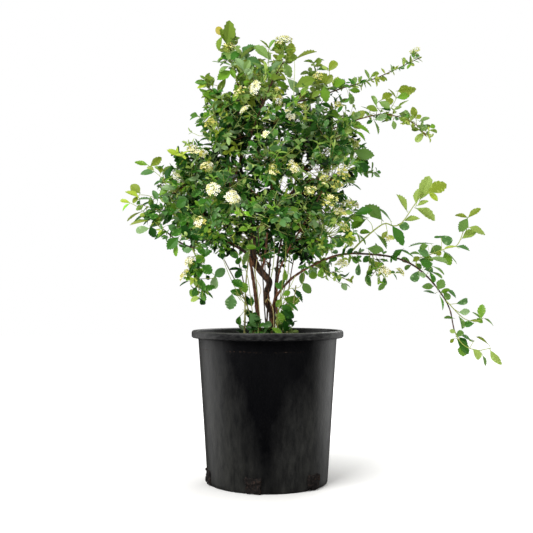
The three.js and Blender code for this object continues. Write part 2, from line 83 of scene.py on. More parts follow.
# masses of foliage: the limb that the leader leaves and where, the points it runs through, how far the
# leaves spread from it, how long a full leaf is, and which habit and tones it has
massRows = dict(
    top_left=("leader", 1, [(-72, 0, 830), (-78, -2, 868)], 24, 26, "leafy", "top"),
    upper_left=("leader", 0.74, [(-110, -14, 772)], 44, 25, "leafy", "top"),
    top_mid=("right_leader", 1, [(28, -16, 844)], 32, 28, "leafy", "top"),
    top_front=("leader", 0.86, [(-12, -84, 772)], 46, 26, "leafy", "top"),
    top_back=("right_leader", 0.62, [(-27, 86, 828)], 56, 25, "dense", "top"),
    top_right=("top_right_bough", 1, [(220, 8, 804), (306, 8, 844)], 17, 16, "sparse", "cool"),
    upper_front=("right_leader", 0.3, [(30, -112, 704)], 68, 23, "dense", "crown"),
    upper_right=("dark_cane", 1, [(98, 26, 802)], 60, 27, "leafy", "top"),
    upper_right_spray=("upper_right_bough", 1, [(238, 18, 732), (292, 10, 714), (319, 10, 688)],
                       15, 17, "spurred", "cool"),
    upper_back=("leader", 0.62, [(-66, 118, 770)], 66, 25, "dense", "crown"),
    upper_back_right=("dark_cane", 0.82, [(146, 98, 716)], 62, 25, "dense", "crown"),
    upper_side_right=("dark_cane", 0.74, [(134, -70, 668)], 62, 24, "dense", "crown"),
    upper_side_left=("leader", 0.5, [(-101, -84, 683)], 58, 25, "dense", "crown"),
    mid_left=("leader", 0.24, [(-149, -14, 626)], 56, 24, "dense", "crown"),
    mid_front=("inner_bough", 1, [(4, -130, 619)], 66, 24, "dense", "crown"),
    mid_front_left=("leader", 0.1, [(-86, -112, 566)], 64, 25, "dense", "crown"),
    mid_front_right=("right_cane", 1, [(114, -116, 610)], 60, 24, "dense", "crown"),
    mid_right=("dark_cane", 0.62, [(166, 20, 632)], 58, 24, "dense", "crown"),
    mid_back=("back_cane", 1, [(9, 150, 675)], 66, 25, "dense", "crown"),
    mid_back_left=("back_cane", 0.76, [(-124, 120, 617)], 64, 25, "dense", "crown"),
    mid_back_right=("dark_cane", 0.54, [(128, 140, 606)], 64, 25, "dense", "crown"),
    left_wing=("left_bough", 1, [(-188, -6, 552), (-206, -10, 600)], 28, 22, "leafy", "wing"),
    left_tip=("left_bough", 0.8, [(-178, -24, 522), (-236, -30, 540)], 24, 22, "leafy", "wing"),
    left_front=("left_bough", 0.3, [(-117, -118, 508)], 50, 23, "dense", "crown"),
    left_back=("left_bough", 0.62, [(-175, 92, 558)], 60, 24, "dense", "crown"),
    left_low=("left_low_bough", 1, [(-222, -36, 512)], 26, 22, "leafy", "wing"),
    left_droop=("left_low_bough", 0.5, [(-137, -32, 430), (-134, -32, 374)], 22, 23, "leafy", "arch"),
    low_front=("front_cane", 1, [(16, -156, 528)], 62, 24, "dense", "crown"),
    low_right=("right_cane", 0.6, [(112, -84, 480)], 60, 24, "dense", "arch"),
    low_side_right=("dark_cane", 0.4, [(134, 24, 528)], 58, 24, "dense", "crown"),
    low_back=("back_cane", 0.5, [(-54, 146, 512)], 60, 24, "dense", "crown"),
    low_back_right=("back_cane", 0.6, [(94, 150, 529)], 56, 24, "dense", "crown"),
    arch_skirt=("arch_inner", 0.62, [(124, -34, 409), (147, -40, 399)], 22, 18, "leafy", "arch"),
    arch_shoot=("arch_inner", 0.97, [(190, -14, 477), (229, -14, 507), (249, -14, 503), (266, -14, 510),
                                     (292, -14, 547), (308, -14, 568)], 34, 38, "shown", "shoot"),
    arch_under=("arch_outer", 0.14, [(214, -26, 406)], 24, 18, "leafy", "arch"),
    arch_far_shoot=("arch_outer", 0.47, [(300, 8, 438), (326, 8, 448), (358, 8, 460), (376, 8, 464),
                                         (386, 8, 478), (400, 8, 518)], 34, 34, "shown", "shoot"),
    arch_side=("arch_outer", 0.78, [(392, 10, 320), (418, 6, 315), (428, 4, 320)], 26, 26, "shown", "arch"),
    arch_tip=("arch_outer", 1, [(392, 22, 268), (420, 22, 256), (448, 22, 260)], 26, 30, "shown", "arch"),
    foot_right=("straw_shoot", 0.7, [(62, -52, 362)], 30, 23, "shown", "wing"),
    foot_left=("thin_shoot", 0.5, [(-62, -46, 372), (-52, -46, 356)], 34, 25, "shown", "wing"),
)
denseLeaf = 0.9  # the leaves of a dense mass are this much smaller


def mix(low, high, share):
    return low + (high - low) * share


def unit(v):
    return v / max(np.linalg.norm(v), 1e-9)


def turned(direction, away, degrees):
    return direction * math.cos(math.radians(degrees)) + away * math.sin(math.radians(degrees))


def across(direction):
    # to the left of a heading as seen from above, and up
    aside = np.array([0.0, 1.0, 0.0]) if abs(direction[2]) > 0.95 else up
    left = unit(np.cross(aside, direction))
    return left, np.cross(direction, left)


def respaced(points, step):
    lengths = np.concatenate([[0], np.cumsum(np.linalg.norm(np.diff(points, axis=0), axis=1))])
    marks = np.linspace(0, lengths[-1], max(3, round(lengths[-1] / step)) + 1)
    return np.stack([np.interp(marks, lengths, points[:, k]) for k in range(3)], axis=1)


def smoothPath(points, step, before=None):
    # a Catmull-Rom curve through the points
    knots = [np.array(p, float) for p in points]
    first = 2 * knots[0] - knots[1] if before is None else before
    knots = [first] + knots + [2 * knots[-1] - knots[-2]]
    fine = []
    for a, b, c, d in zip(knots, knots[1:], knots[2:], knots[3:]):
        for t in np.arange(0, 1, 0.05):
            slope, bend = (c - a) * t, (2 * a - 5 * b + 4 * c - d) * t ** 2
            fine.append(0.5 * (2 * b + slope + bend + (3 * b - a - 3 * c + d) * t ** 3))
    return respaced(np.array(fine + [knots[-2]]), step)


def pathLength(path):
    return float(np.linalg.norm(np.diff(path, axis=0), axis=1).sum())


def pointOn(path, share):
    place = min(max(share, 0), 1) * (len(path) - 1)
    before = min(int(place), len(path) - 2)
    return mix(path[before], path[before + 1], place - before)


def headingOn(path, share):
    before = min(int(share * (len(path) - 1)), len(path) - 2)
    return unit(path[before + 1] - path[before])


# --- paths of limbs and leaders, in metres ---
print("paths")
stretches = dict(limbStep=4, leaderStep=6, stemStep=5, dip=0.08, wiggle=1.1, wiggleLength=38)
# girths in mm, turns in degrees, and how far a mass reaches, in spreads, and into its neighbours
growth = dict(
    leaderStart=2.0, leaderEnd=0.75, twigStart=0.75, sideStart=0.55, forkStart=0.5, twigEnd=0.34,
    firstTwig=0.1, golden=137.5, stray=40, limit=1.18, shared=0.22, keepOff=1.2,
)


def wiggled(path, rng):
    # small crooks at the joints of a stem, none at its ends
    length = pathLength(path)
    marks = np.linspace(0, length, max(3, round(length / (stretches["wiggleLength"] * mm))) + 1)
    shifts = np.array([[rng.uniform(-1, 1) for k in range(3)] for m in marks]) * stretches["wiggle"] * mm
    shifts[0] = shifts[-1] = 0
    along = np.linspace(0, length, len(path))
    return path + np.stack([np.interp(along, marks, shifts[:, k]) for k in range(3)], axis=1)


limbs = {}
pathRandom = random.Random(3)
for name, (on, at, through, girths) in limbRows.items():
    points = [np.array(p) * mm for p in through]
    before = None
    if on == "soil":
        start = np.array([*at, soil["top"] - soil["sunk"]]) * mm
    else:
        start = pointOn(limbs[on]["path"], at)
        before = pointOn(limbs[on]["path"], 0.9) if at == 1 else None
    path = wiggled(smoothPath([start] + points, stretches["limbStep"] * mm, before), pathRandom)
    shares = np.linspace(0, 1, len(path))
    radii = np.interp(shares, np.linspace(0, 1, len(girths)), girths) * mm
    limbs[name] = dict(on=on, path=path, radii=radii)

masses = {}
for name, (on, at, through, spread, leaf, habit, tones) in massRows.items():
    start = pointOn(limbs[on]["path"], at)
    points = [np.array(p) * mm for p in through]
    if len(points) == 1:
        middle = mix(start, points[0], 0.5)
        middle[2] -= stretches["dip"] * np.linalg.norm(points[0] - start)
        points.insert(0, middle)
    before = pointOn(limbs[on]["path"], 0.9) if at == 1 else None
    path = smoothPath([start] + points, stretches["leaderStep"] * mm, before)
    leafLength = leaf * (denseLeaf if habit == "dense" else 1) * mm
    masses[name] = dict(path=path, spread=spread * mm, leaf=leafLength, habit=habit, tones=tones, on=on)


def segmentsOf(paths):
    starts = np.concatenate([p[:-1] for p in paths])
    ways = np.concatenate([p[1:] - p[:-1] for p in paths])
    firsts = np.cumsum([0] + [len(p) - 1 for p in paths[:-1]])
    return starts, ways, (ways ** 2).sum(axis=1), firsts


def distances(segments, point):
    starts, ways, squares, _ = segments
    share = np.clip(((point - starts) * ways).sum(axis=1) / squares, 0, 1)
    return np.linalg.norm(starts + ways * share[:, None] - point, axis=1)


massNames = list(masses)
footMasses = [k for k, name in enumerate(massNames) if name.startswith("foot")]
leaderSegments = segmentsOf([m["path"] for m in masses.values()])
spreads = np.array([m["spread"] for m in masses.values()])
limbSegments = segmentsOf([l["path"] for l in limbs.values()])
limbRadii = np.concatenate([l["radii"][:-1] for l in limbs.values()])

# in mm: what a leaf keeps off the rim and the soil, and where the stems stand bare
room = dict(rim=4, soil=3, mouth=125, bareFoot=306, bareTop=446, bareLeft=-72, bareRight=50)


def isClearOfPot(point):
    off, height = math.hypot(point[0], point[1]) / mm, point[2] / mm
    if height > pot["height"] + room["rim"] or off > pot["rimRadius"] + room["rim"]:
        return True
    return off < room["mouth"] and height > soil["top"] + room["soil"]


def isAmongStems(point):
    isBetween = room["bareLeft"] * mm < point[0] < room["bareRight"] * mm
    return isBetween and room["bareFoot"] * mm < point[2] < room["bareTop"] * mm


def isInSpace(index, point):
    # nearer to its own leader than to the others, as measured in spreads
    if index is None:
        return isClearOfPot(point)
    if not isClearOfPot(point) or (isAmongStems(point) and index not in footMasses):
        return False
    depths = np.minimum.reduceat(distances(leaderSegments, point), leaderSegments[3]) / spreads
    own = depths[index]
    depths[index] = np.inf
    return own < growth["limit"] and depths.min() > own - growth["shared"]


def stepAt(y):
    # how wide one step of the camera's view is, this far behind the pot's axis
    away = -view["place"][1]
    return view["step"] * mm * (away + y) / away


def seenAt(column, row, depth):
    # the point at this depth, in mm, that the camera sees at this place of its view
    step = stepAt(depth * mm)
    x = view["place"][0] + (column - view["column"]) * step
    return np.array([x, depth * mm, view["place"][2] + (view["row"] - row) * step])


# where the sky shows through the crown: columns, rows and radii in the camera's view, which is 533 wide; and
# how far a leaf stays clear of them
clearMargin = 0.4
clearings = np.array([
    (304, 157, 5), (305, 163, 3), (325, 151, 4), (329, 147, 4), (330, 154, 3), (318, 169, 5), (314, 174, 4),
    (328, 177, 6), (333, 169, 5), (339, 172, 4), (344, 165, 4), (352, 166, 4), (347, 171, 4), (342, 192, 5),
    (283, 187, 4), (284, 177, 3), (317, 195, 3), (320, 222, 5), (335, 233, 6), (329, 228, 4), (277, 217, 3),
    (299, 235, 4), (244, 235, 3), (236, 180, 2), (336, 126, 2),
])


def isInClearing(point):
    step = stepAt(point[1])
    column = view["column"] + (point[0] - view["place"][0]) / step
    row = view["row"] - (point[2] - view["place"][2]) / step
    off = np.hypot(clearings[:, 0] - column, clearings[:, 1] - row)
    return bool((off < clearings[:, 2] + clearMargin).any())


def isOffLimbs(point):
    return (distances(limbSegments, point) - limbRadii).min() > growth["keepOff"] * mm


# --- finishes ---
print("finishes")


def linear(*colour):
    shares = [part / 255 for part in colour]
    return tuple(s / 12.92 if s < 0.0405 else ((s + 0.055) / 1.055) ** 2.4 for s in shares)


def newMaterial(name, **sockets):
    material = bpy.data.materials.new(name)
    material.use_nodes = True
    shader = material.node_tree.nodes["Principled BSDF"]
    for socket, value in sockets.items():
        shader.inputs[socket.replace("_", " ")].default_value = value
    return material


def plainMaterial(name, red, green, blue, rough, specular=0.5):
    material = newMaterial(name, Base_Color=(*linear(red, green, blue), 1), Roughness=rough)
    material.node_tree.nodes["Principled BSDF"].inputs["Specular IOR Level"].default_value = specular
    return material


def node(material, kind, links=(), **settings):
    # links: input name to the output socket that feeds it; settings: node properties or input values
    made = material.node_tree.nodes.new(kind)
    for key, value in settings.items():
        if hasattr(made, key):
            setattr(made, key, value)
        else:
            made.inputs[key.replace("_", " ")].default_value = value
    for socket, source in dict(links).items():
        material.node_tree.links.new(source, made.inputs[socket])
    return made


def feed(material, socket, source):
    shader = material.node_tree.nodes["Principled BSDF"]
    material.node_tree.links.new(source, shader.inputs[socket])


def ramp(material, source, *stops):
    made = node(material, "ShaderNodeValToRGB", {"Fac": source})
    points = made.color_ramp.elements
    while len(points) < len(stops):
        points.new(0.5)
    for point, (place, shade) in zip(points, stops):
        point.position = place
        point.color = (*shade, 1) if isinstance(shade, tuple) else (shade, shade, shade, 1)
    return made.outputs["Color"]


def objectNoise(material, scale, stretch=(1, 1, 1), detail=4.0, rough=0.6):
    place = node(material, "ShaderNodeTexCoord").outputs["Object"]
    stretched = node(material, "ShaderNodeMapping", {"Vector": place})
    stretched.inputs["Scale"].default_value = stretch
    links = {"Vector": stretched.outputs["Vector"]}
    noise = node(material, "ShaderNodeTexNoise", links, Scale=scale, Detail=detail, Roughness=rough)
    return noise.outputs["Fac"]


def mixed(material, factor, first, second, blend="MIX"):
    made = node(material, "ShaderNodeMix", data_type="RGBA", blend_type=blend)
    for socket, value in ((0, factor), (6, first), (7, second)):
        if isinstance(value, bpy.types.NodeSocket):
            material.node_tree.links.new(value, made.inputs[socket])
        elif isinstance(value, tuple):
            made.inputs[socket].default_value = (*value, 1)
        else:
            made.inputs[socket].default_value = value
    return made.outputs[2]


def bump(material, height, strength, distance):
    made = node(material, "ShaderNodeBump", {"Height": height}, Strength=strength, Distance=distance)
    feed(material, "Normal", made.outputs["Normal"])


def mapped(material, value, lowest, highest, least=0.0, most=1.0):
    made = node(material, "ShaderNodeMapRange", {"Value": value}, From_Min=lowest, From_Max=highest,
                To_Min=least, To_Max=most)
    return made.outputs["Result"]


def withShare(material, first, second, share):
    # the first value plus a share of the second
    made = node(material, "ShaderNodeMath", {0: second, 2: first}, operation="MULTIPLY_ADD")
    made.inputs[1].default_value = share
    return made.outputs["Value"]


def potPlastic():
    # satin black, going grey towards the left and right and towards the foot, a grey that is partly chalky
    # dust and partly painted sheen, and black down the middle of the front and back; scuffs rubbed pale along
    # the rim band, and the rim's top edge paler all round
    finish = newMaterial("blackPlastic", Roughness=0.4)
    shader = finish.node_tree.nodes["Principled BSDF"]
    shader.inputs["Specular IOR Level"].default_value = 0.4
    place = node(finish, "ShaderNodeTexCoord").outputs["Object"]
    parts = node(finish, "ShaderNodeSeparateXYZ", {"Vector": place})
    height, sideways = parts.outputs["Z"], parts.outputs["X"]
    clouds = objectNoise(finish, 11, (1, 1, 0.6), 5, 0.65)
    streaks = objectNoise(finish, 46, (1, 1, 0.09), 3)
    dustAndSheenMottle = objectNoise(finish, 90, (1, 1, 0.3), 5, 0.7)
    # the black middle, free of painted sheen and dust, is widest at the top and ragged at its sides
    off = node(finish, "ShaderNodeMath", {0: sideways}, operation="ABSOLUTE").outputs["Value"]
    off = withShare(finish, off, height, -0.42)
    off = withShare(finish, off, clouds, 0.13)
    off = withShare(finish, off, streaks, 0.02)
    # painted sheen and dust: the share of grey, more the farther out to the left or right and the lower down
    dustAndSheen = mapped(finish, off, 0.035, 0.115)
    black = ramp(finish, streaks, (0.3, linear(1, 1, 3)), (0.8, linear(4, 4, 7)))
    # the mottled grey of the painted sheen and dust
    grey = ramp(finish, dustAndSheenMottle, (0.3, linear(17, 18, 18)), (0.7, linear(46, 46, 43)))
    body = mixed(finish, dustAndSheen, black, grey)
    rim = mapped(finish, height, 0.2815, 0.2835)
    crest = mapped(finish, height, 0.2946, 0.2966, 0.0, 0.4)
    scratches = objectNoise(finish, 100, (1, 1, 3), 6, 0.8)
    scuffs = ramp(finish, scratches, (0.42, 0.0), (0.6, 0.2), (0.74, 0.8))
    worn = mixed(finish, 1.0, rim, scuffs, "MULTIPLY")
    body = mixed(finish, worn, body, linear(92, 92, 90))
    feed(finish, "Base Color", mixed(finish, crest, body, linear(112, 112, 108)))
    feed(finish, "Roughness", ramp(finish, clouds, (0.3, 0.3), (0.7, 0.5)))
    grain, waves = objectNoise(finish, 260, (1, 1, 0.5), 4), objectNoise(finish, 10, (1, 1, 0.35), 3)
    bump(finish, mixed(finish, 0.9, grain, waves), 0.45, 0.007)
    return finish


def pottingMix(name, dark, middle, light):
    finish = newMaterial(name, Roughness=0.95)
    grain = objectNoise(finish, 210, (1, 1, 1), 6, 0.7)
    colour = ramp(finish, grain, (0.34, dark), (0.54, middle), (0.76, light))
    feed(finish, "Base Color", colour)
    bump(finish, grain, 0.7, 0.0015)
    return finish


def barkFinish(name, dark, middle, light, relief):
    # long strips and flecks, greyer where it has weathered
    finish = newMaterial(name, Roughness=0.8)
    strips = objectNoise(finish, 230, (1, 1, 0.3), 6, 0.7)
    colour = ramp(finish, strips, (0.34, dark), (0.5, middle), (0.68, light))
    weather = ramp(finish, objectNoise(finish, 40, (1, 1, 0.5), 4), (0.5, 0.0), (0.75, 0.3))
    feed(finish, "Base Color", mixed(finish, weather, colour, linear(112, 98, 84)))
    feed(finish, "Roughness", ramp(finish, strips, (0.3, 0.9), (0.7, 0.62)))
    bump(finish, strips, 0.6, relief)
    return finish


potFinish = potPlastic()
soilFinish = pottingMix("pottingMix", linear(14, 9, 6), linear(42, 28, 18), linear(88, 62, 40))
plugFinish = pottingMix("rootMix", linear(5, 3, 2), linear(20, 12, 9), linear(70, 48, 34))
trunkBark = barkFinish("trunkBark", linear(16, 10, 6), linear(50, 30, 18), linear(138, 88, 48), 0.0018)
boughBark = barkFinish("boughBark", linear(44, 24, 15), linear(100, 60, 37), linear(156, 102, 62), 0.0006)
darkBark = barkFinish("darkBark", linear(30, 20, 16), linear(62, 42, 32), linear(112, 78, 54), 0.0005)
strawBark = barkFinish("strawBark", linear(120, 116, 60), linear(160, 158, 96), linear(196, 188, 132), 0.0003)
oliveBark = barkFinish("oliveBark", linear(70, 66, 28), linear(104, 104, 50), linear(138, 136, 78), 0.0003)

# a leaf's colour above and the colour under it that goes with it
leafTones = dict(
    # shade is the darkest, a painted shade dealt mostly to the leaves inside the crown
    shade=((7, 30, 2), (22, 50, 12)),
    deep=((24, 70, 8), (54, 98, 36)),
    mid=((54, 106, 24), (96, 140, 62)),
    calm=((90, 126, 52), (124, 154, 90)),
    blue=((80, 122, 62), (122, 154, 104)),
    fresh=((100, 142, 34), (134, 166, 76)),
    light=((142, 165, 76), (162, 186, 108)),
    silver=((124, 154, 100), (148, 174, 128)),
    soft=((112, 143, 70), (140, 166, 104)),
    moss=((106, 132, 40), (134, 156, 76)),
    olive=((118, 137, 36), (144, 160, 72)),
    young=((158, 180, 54), (176, 196, 88)),
    lime=((128, 190, 36), (152, 204, 76)),
    tinted=((156, 146, 46), (168, 162, 80)),
)
leafMaterials, toneSlot = [], {}
for tone, (above, under) in leafTones.items():
    toneSlot[tone] = len(leafMaterials)
    leafMaterials.append(plainMaterial("leaf_" + tone, *above, 0.45, 0.24))
    leafMaterials.append(plainMaterial("leafUnder_" + tone, *under, 0.7, 0.08))

twigSlot = dict(brown=0, red=1, green=2, stalk=3, straw=4)
twigMaterials = [
    plainMaterial("twigBrown", 66, 44, 30, 0.75, 0.15),
    plainMaterial("twigRed", 104, 64, 42, 0.7, 0.15),
    plainMaterial("twigGreen", 150, 162, 76, 0.6, 0.25),
    plainMaterial("stalkGreen", 176, 190, 108, 0.6, 0.25),
    plainMaterial("stalkStraw", 196, 178, 122, 0.7, 0.2),
]
blossomMaterials = [
    plainMaterial("petalWhite", 250, 249, 232, 0.6, 0.2),
    plainMaterial("petalCream", 238, 232, 178, 0.65, 0.2),
    plainMaterial("petalFaded", 200, 194, 104, 0.75, 0.15),
    plainMaterial("flowerEye", 200, 200, 76, 0.6, 0.2),
    plainMaterial("flowerEyeSpent", 156, 136, 58, 0.7, 0.15),
    plainMaterial("budGreen", 190, 200, 112, 0.6, 0.2),
    plainMaterial("flowerStalk", 162, 180, 86, 0.6, 0.2),
]


# --- many small shapes joined into one mesh ---
class Heap:
    def __init__(self):
        self.points, self.loops, self.totals, self.slots, self.count = [], [], [], [], 0

    def add(self, points, shape, slots):
        self.points.append(points)
        self.loops.append(shape["loops"] + self.count)
        self.totals.append(shape["totals"])
        self.slots.append(slots)
        self.count += len(points)

    def triangles(self):
        return int(sum((totals - 2).sum() for totals in self.totals))

    def build(self, name, materials):
        mesh = bpy.data.meshes.new(name)
        points, loops = np.concatenate(self.points), np.concatenate(self.loops)
        totals = np.concatenate(self.totals)
        mesh.vertices.add(len(points))
        mesh.vertices.foreach_set("co", points.astype(np.float32).ravel())
        mesh.loops.add(len(loops))
        mesh.loops.foreach_set("vertex_index", loops.astype(np.int32))
        mesh.polygons.add(len(totals))
        mesh.polygons.foreach_set("loop_start", (np.cumsum(totals) - totals).astype(np.int32))
        mesh.polygons.foreach_set("material_index", np.concatenate(self.slots).astype(np.int32))
        mesh.update(calc_edges=True)
        mesh.validate()
        mesh.shade_smooth()
        for material in materials:
            mesh.materials.append(material)
        piece = bpy.data.objects.new(name, mesh)
        bpy.context.scene.collection.objects.link(piece)
        return piece


def shapeOf(faces):
    loops = np.array([corner for face in faces for corner in face])
    return dict(loops=loops, totals=np.array([len(face) for face in faces]))


def tubeShape(rings, sides):
    faces = []
    for r in range(rings - 1):
        for k in range(sides):
            a, b = r * sides + k, r * sides + (k + 1) % sides
            faces.append((a, b, b + sides, a + sides))
    faces.append(tuple(range(sides))[::-1])
    faces.append(tuple((rings - 1) * sides + k for k in range(sides)))
    return shapeOf(faces)


tubeShapes = {}


def addTube(heap, path, radii, sides, slot):
    key = (len(path), sides)
    if key not in tubeShapes:
        tubeShapes[key] = tubeShape(*key)
    ways = np.gradient(path, axis=0)
    ways /= np.linalg.norm(ways, axis=1)[:, None]
    aside = np.array([0.0, 1.0, 0.0]) if abs(unit(path[-1] - path[0])[2]) > 0.9 else up
    left = np.cross(aside, ways)
    left /= np.linalg.norm(left, axis=1)[:, None]
    over = np.cross(ways, left)
    turns = np.arange(sides) * 2 * math.pi / sides
    rings = left[:, None] * np.cos(turns)[None, :, None] + over[:, None] * np.sin(turns)[None, :, None]
    points = path[:, None] + rings * np.asarray(radii)[:, None, None]
    heap.add(points.reshape(-1, 3), tubeShapes[key], np.full(len(tubeShapes[key]["totals"]), slot))


# --- leaves: stations along the blade as (share of its length, half its width), with teeth where it dips ---
leafShapes = dict(
    toothed=dict(
        across=5,
        stations=[(-0.13, 0.012), (0, 0.02), (0.1, 0.1), (0.24, 0.21), (0.36, 0.28), (0.47, 0.33),
                  (0.52, 0.275), (0.61, 0.31), (0.655, 0.235), (0.74, 0.25), (0.785, 0.165), (0.86, 0.17),
                  (0.905, 0.09), (1, 0.01)],
    ),
    notched=dict(
        across=3,
        stations=[(-0.12, 0.012), (0, 0.02), (0.15, 0.14), (0.34, 0.25), (0.5, 0.29), (0.56, 0.25),
                  (0.68, 0.26), (0.74, 0.18), (0.85, 0.17), (1, 0.012)],
    ),
    pointed=dict(
        across=3,
        stations=[(-0.1, 0.014), (0, 0.04), (0.18, 0.19), (0.42, 0.25), (0.66, 0.22), (0.86, 0.13),
                  (1, 0.01)],
    ),
    blunt=dict(
        across=3,
        stations=[(-0.1, 0.014), (0, 0.04), (0.2, 0.16), (0.48, 0.24), (0.76, 0.24), (0.93, 0.15), (1, 0.04)],
    ),
    slim=dict(
        across=3,
        stations=[(-0.08, 0.014), (0, 0.03), (0.28, 0.13), (0.58, 0.165), (0.84, 0.1), (1, 0.012)],
    ),
)


def makeLeaf(across, stations, fold, arch, twist, ripple=0.006, thickness=0.013):
    # two halves that meet in a crease at the rib, each with an upper and an under skin that meet at the edge
    columns = across // 2 + 1
    points, faces, slots = [], [], []
    for under in (0, 1):
        for side in (-1, 1):
            first = len(points)
            for row, (t, half) in enumerate(stations):
                for share in np.linspace(0, 1, columns):
                    x = side * share * half
                    y = t + 0.03 * share * (half > 0.1)
                    z = abs(x) * math.tan(math.radians(fold)) - arch * max(t, 0) ** 2 + twist * x * t
                    z += ripple * (1 if row % 2 else -1) * (share > 0.4)
                    z -= under * thickness * (1 - share ** 2)
                    points.append((x, y, z))
            for row in range(len(stations) - 1):
                for k in range(columns - 1):
                    a = first + row * columns + k
                    face = (a, a + 1, a + 1 + columns, a + columns)
                    faces.append(face if (side > 0) != bool(under) else face[::-1])
                    slots.append(under)
    return dict(points=np.array(points), shape=shapeOf(faces), slots=np.array(slots))


leafRandom = random.Random(11)
leafKinds = {}
for kind, outline in leafShapes.items():
    leafKinds[kind] = [
        makeLeaf(**outline, fold=leafRandom.uniform(8, 30), arch=leafRandom.uniform(-0.02, 0.26),
                 twist=leafRandom.uniform(-0.35, 0.35))
        for k in range(5)
    ]

# the leaves each habit bears, the gap from twig to twig in mm and from leaf to leaf in leaves, the share of
# nodes with a lone leaf or a tuft in place of a twig, how the twigs fork, reach, lean and rise, and how many
# bare stems run out; a shown mass bears only the leaves that are listed further down
habits = dict(
    leafy=dict(kinds=dict(toothed=4, notched=4, pointed=1.5), twigGap=9.5, leafGap=0.46, lone=0.3, tuft=0.1,
               fork=0.2, reach=(0.4, 0.85), lean=(35, 65), lift=0.05, bare=0),
    dense=dict(kinds=dict(notched=2.4, pointed=3.2, blunt=0.8, slim=3.2, toothed=0.4), twigGap=7, leafGap=0.4,
               lone=0.05, tuft=0.12, fork=0.4, reach=(0.45, 0.9), lean=(38, 74), lift=0.05, bare=13),
    spurred=dict(kinds=dict(blunt=5, pointed=3, slim=2), twigGap=9, leafGap=0.46, lone=0.3, tuft=0.5,
                 fork=0.1, reach=(0.3, 0.8), lean=(40, 75), lift=0.04, bare=0),
    sparse=dict(kinds=dict(blunt=2, pointed=2, slim=5), twigGap=9, leafGap=0.5, lone=0.3, tuft=0.6,
                fork=0, reach=(0.3, 0.6), lean=(30, 60), lift=0.04, bare=0),
)
tonesOf = dict(
    # inner: painted shade, the darkest greens dealt to the leaves deep in the crown, where shade falls
    inner=dict(shade=6, deep=4, mid=1, blue=0.2),
    crown=dict(shade=1.3, deep=3.6, mid=3.8, blue=2, fresh=1, silver=1.3, light=0.8, olive=0.1),
    top=dict(mid=1, soft=2.2, moss=2.2, fresh=2, olive=3, light=2, young=1, tinted=0.15),
    wing=dict(deep=1.4, mid=3, blue=2.4, fresh=1.4, silver=0.6, light=0.4, olive=0.5, young=0.1),
    cool=dict(mid=1.4, blue=1.4, soft=2, moss=1.6, silver=1, light=1, olive=1.8),
    arch=dict(mid=2.8, blue=1.8, fresh=2.4, light=1.2, olive=0.5, young=0.2),
    shoot=dict(fresh=2.6, light=3, young=1.2, olive=0.6, mid=0.8),
)


def chosen(rng, weights):
    names = list(weights)
    return rng.choices(names, [weights[n] for n in names])[0]


# how a blade turns to the light, to the outside and to the front, and how it strays, leans and droops
pose = dict(light=0.7, out=0.3, front=0.08, stray=0.56, lean=(38, 66), droop=0.22, tries=4)


def strayed(rng, spread):
    return np.array([rng.gauss(0, spread) for k in range(3)])


def squared(face, way):
    return unit(face - way * face.dot(way))


def isBlocked(middle, tip):
    return isInClearing(middle) or isInClearing(tip) or not isOffLimbs(middle)


def placeLeaf(heap, rng, index, root, forward, side, length, kind, tone, toward=None):
    # tries again, from side to side, where the leaf has no room
    if toward is None:
        toward = unit(np.array([root[0], root[1], 0.0])) * pose["out"] + front * pose["front"]
    for attempt in range(pose["tries"]):
        face = unit(up * pose["light"] + toward + strayed(rng, 1) * pose["stray"])
        aside = unit(np.cross(forward, face)) * (side if attempt % 2 == 0 else -side)
        way = unit(turned(forward, aside, rng.uniform(*pose["lean"])) - up * rng.uniform(0, pose["droop"]))
        middle, tip = root + way * length * 0.55, root + way * length
        if isInSpace(index, middle) and isInSpace(index, tip) and not isBlocked(middle, tip):
            addLeaf(heap, rng, root, way, squared(face, way), length, kind, tone)
            return


def addLeaf(heap, rng, root, way, face, length, kind, tone, widen=1):
    leaf = rng.choice(leafKinds[kind])
    turn = np.stack([np.cross(way, face), way, face])
    points = root + (leaf["points"] * (widen * length, length, length)) @ turn
    heap.add(points, leaf["shape"], toneSlot[tone] + leaf["slots"])


def growTuft(heap, rng, index, root, way, length, habit, tone, count):
    # leaves that spread from one bud, the outer ones lower and larger
    left, over = across(way)
    first = rng.uniform(0, 360)
    for k in range(count):
        out = turned(left, over, first + growth["golden"] * k)
        lean = rng.uniform(28, 84)
        leafWay = turned(way, out, lean)
        face = squared(unit(turned(way, out, lean - 90) + up * 0.4), leafWay)
        size = length * rng.uniform(0.62, 1.05) * (0.75 + 0.3 * lean / 84)
        middle, tip = root + leafWay * size * 0.5, root + leafWay * size * 0.8
        if isInSpace(index, tip) and not isBlocked(middle, tip):
            addLeaf(heap, rng, root, leafWay, face, size, chosen(rng, habit["kinds"]), tone)


def twigPath(rng, start, direction, reach, lift, bend=0.06):
    steps = max(3, round(reach / (stretches["stemStep"] * mm)))
    points, way = [start], direction
    for k in range(steps):
        way = unit(way + up * lift + strayed(rng, bend))
        points.append(points[-1] + way * reach / steps)
    return np.array(points)


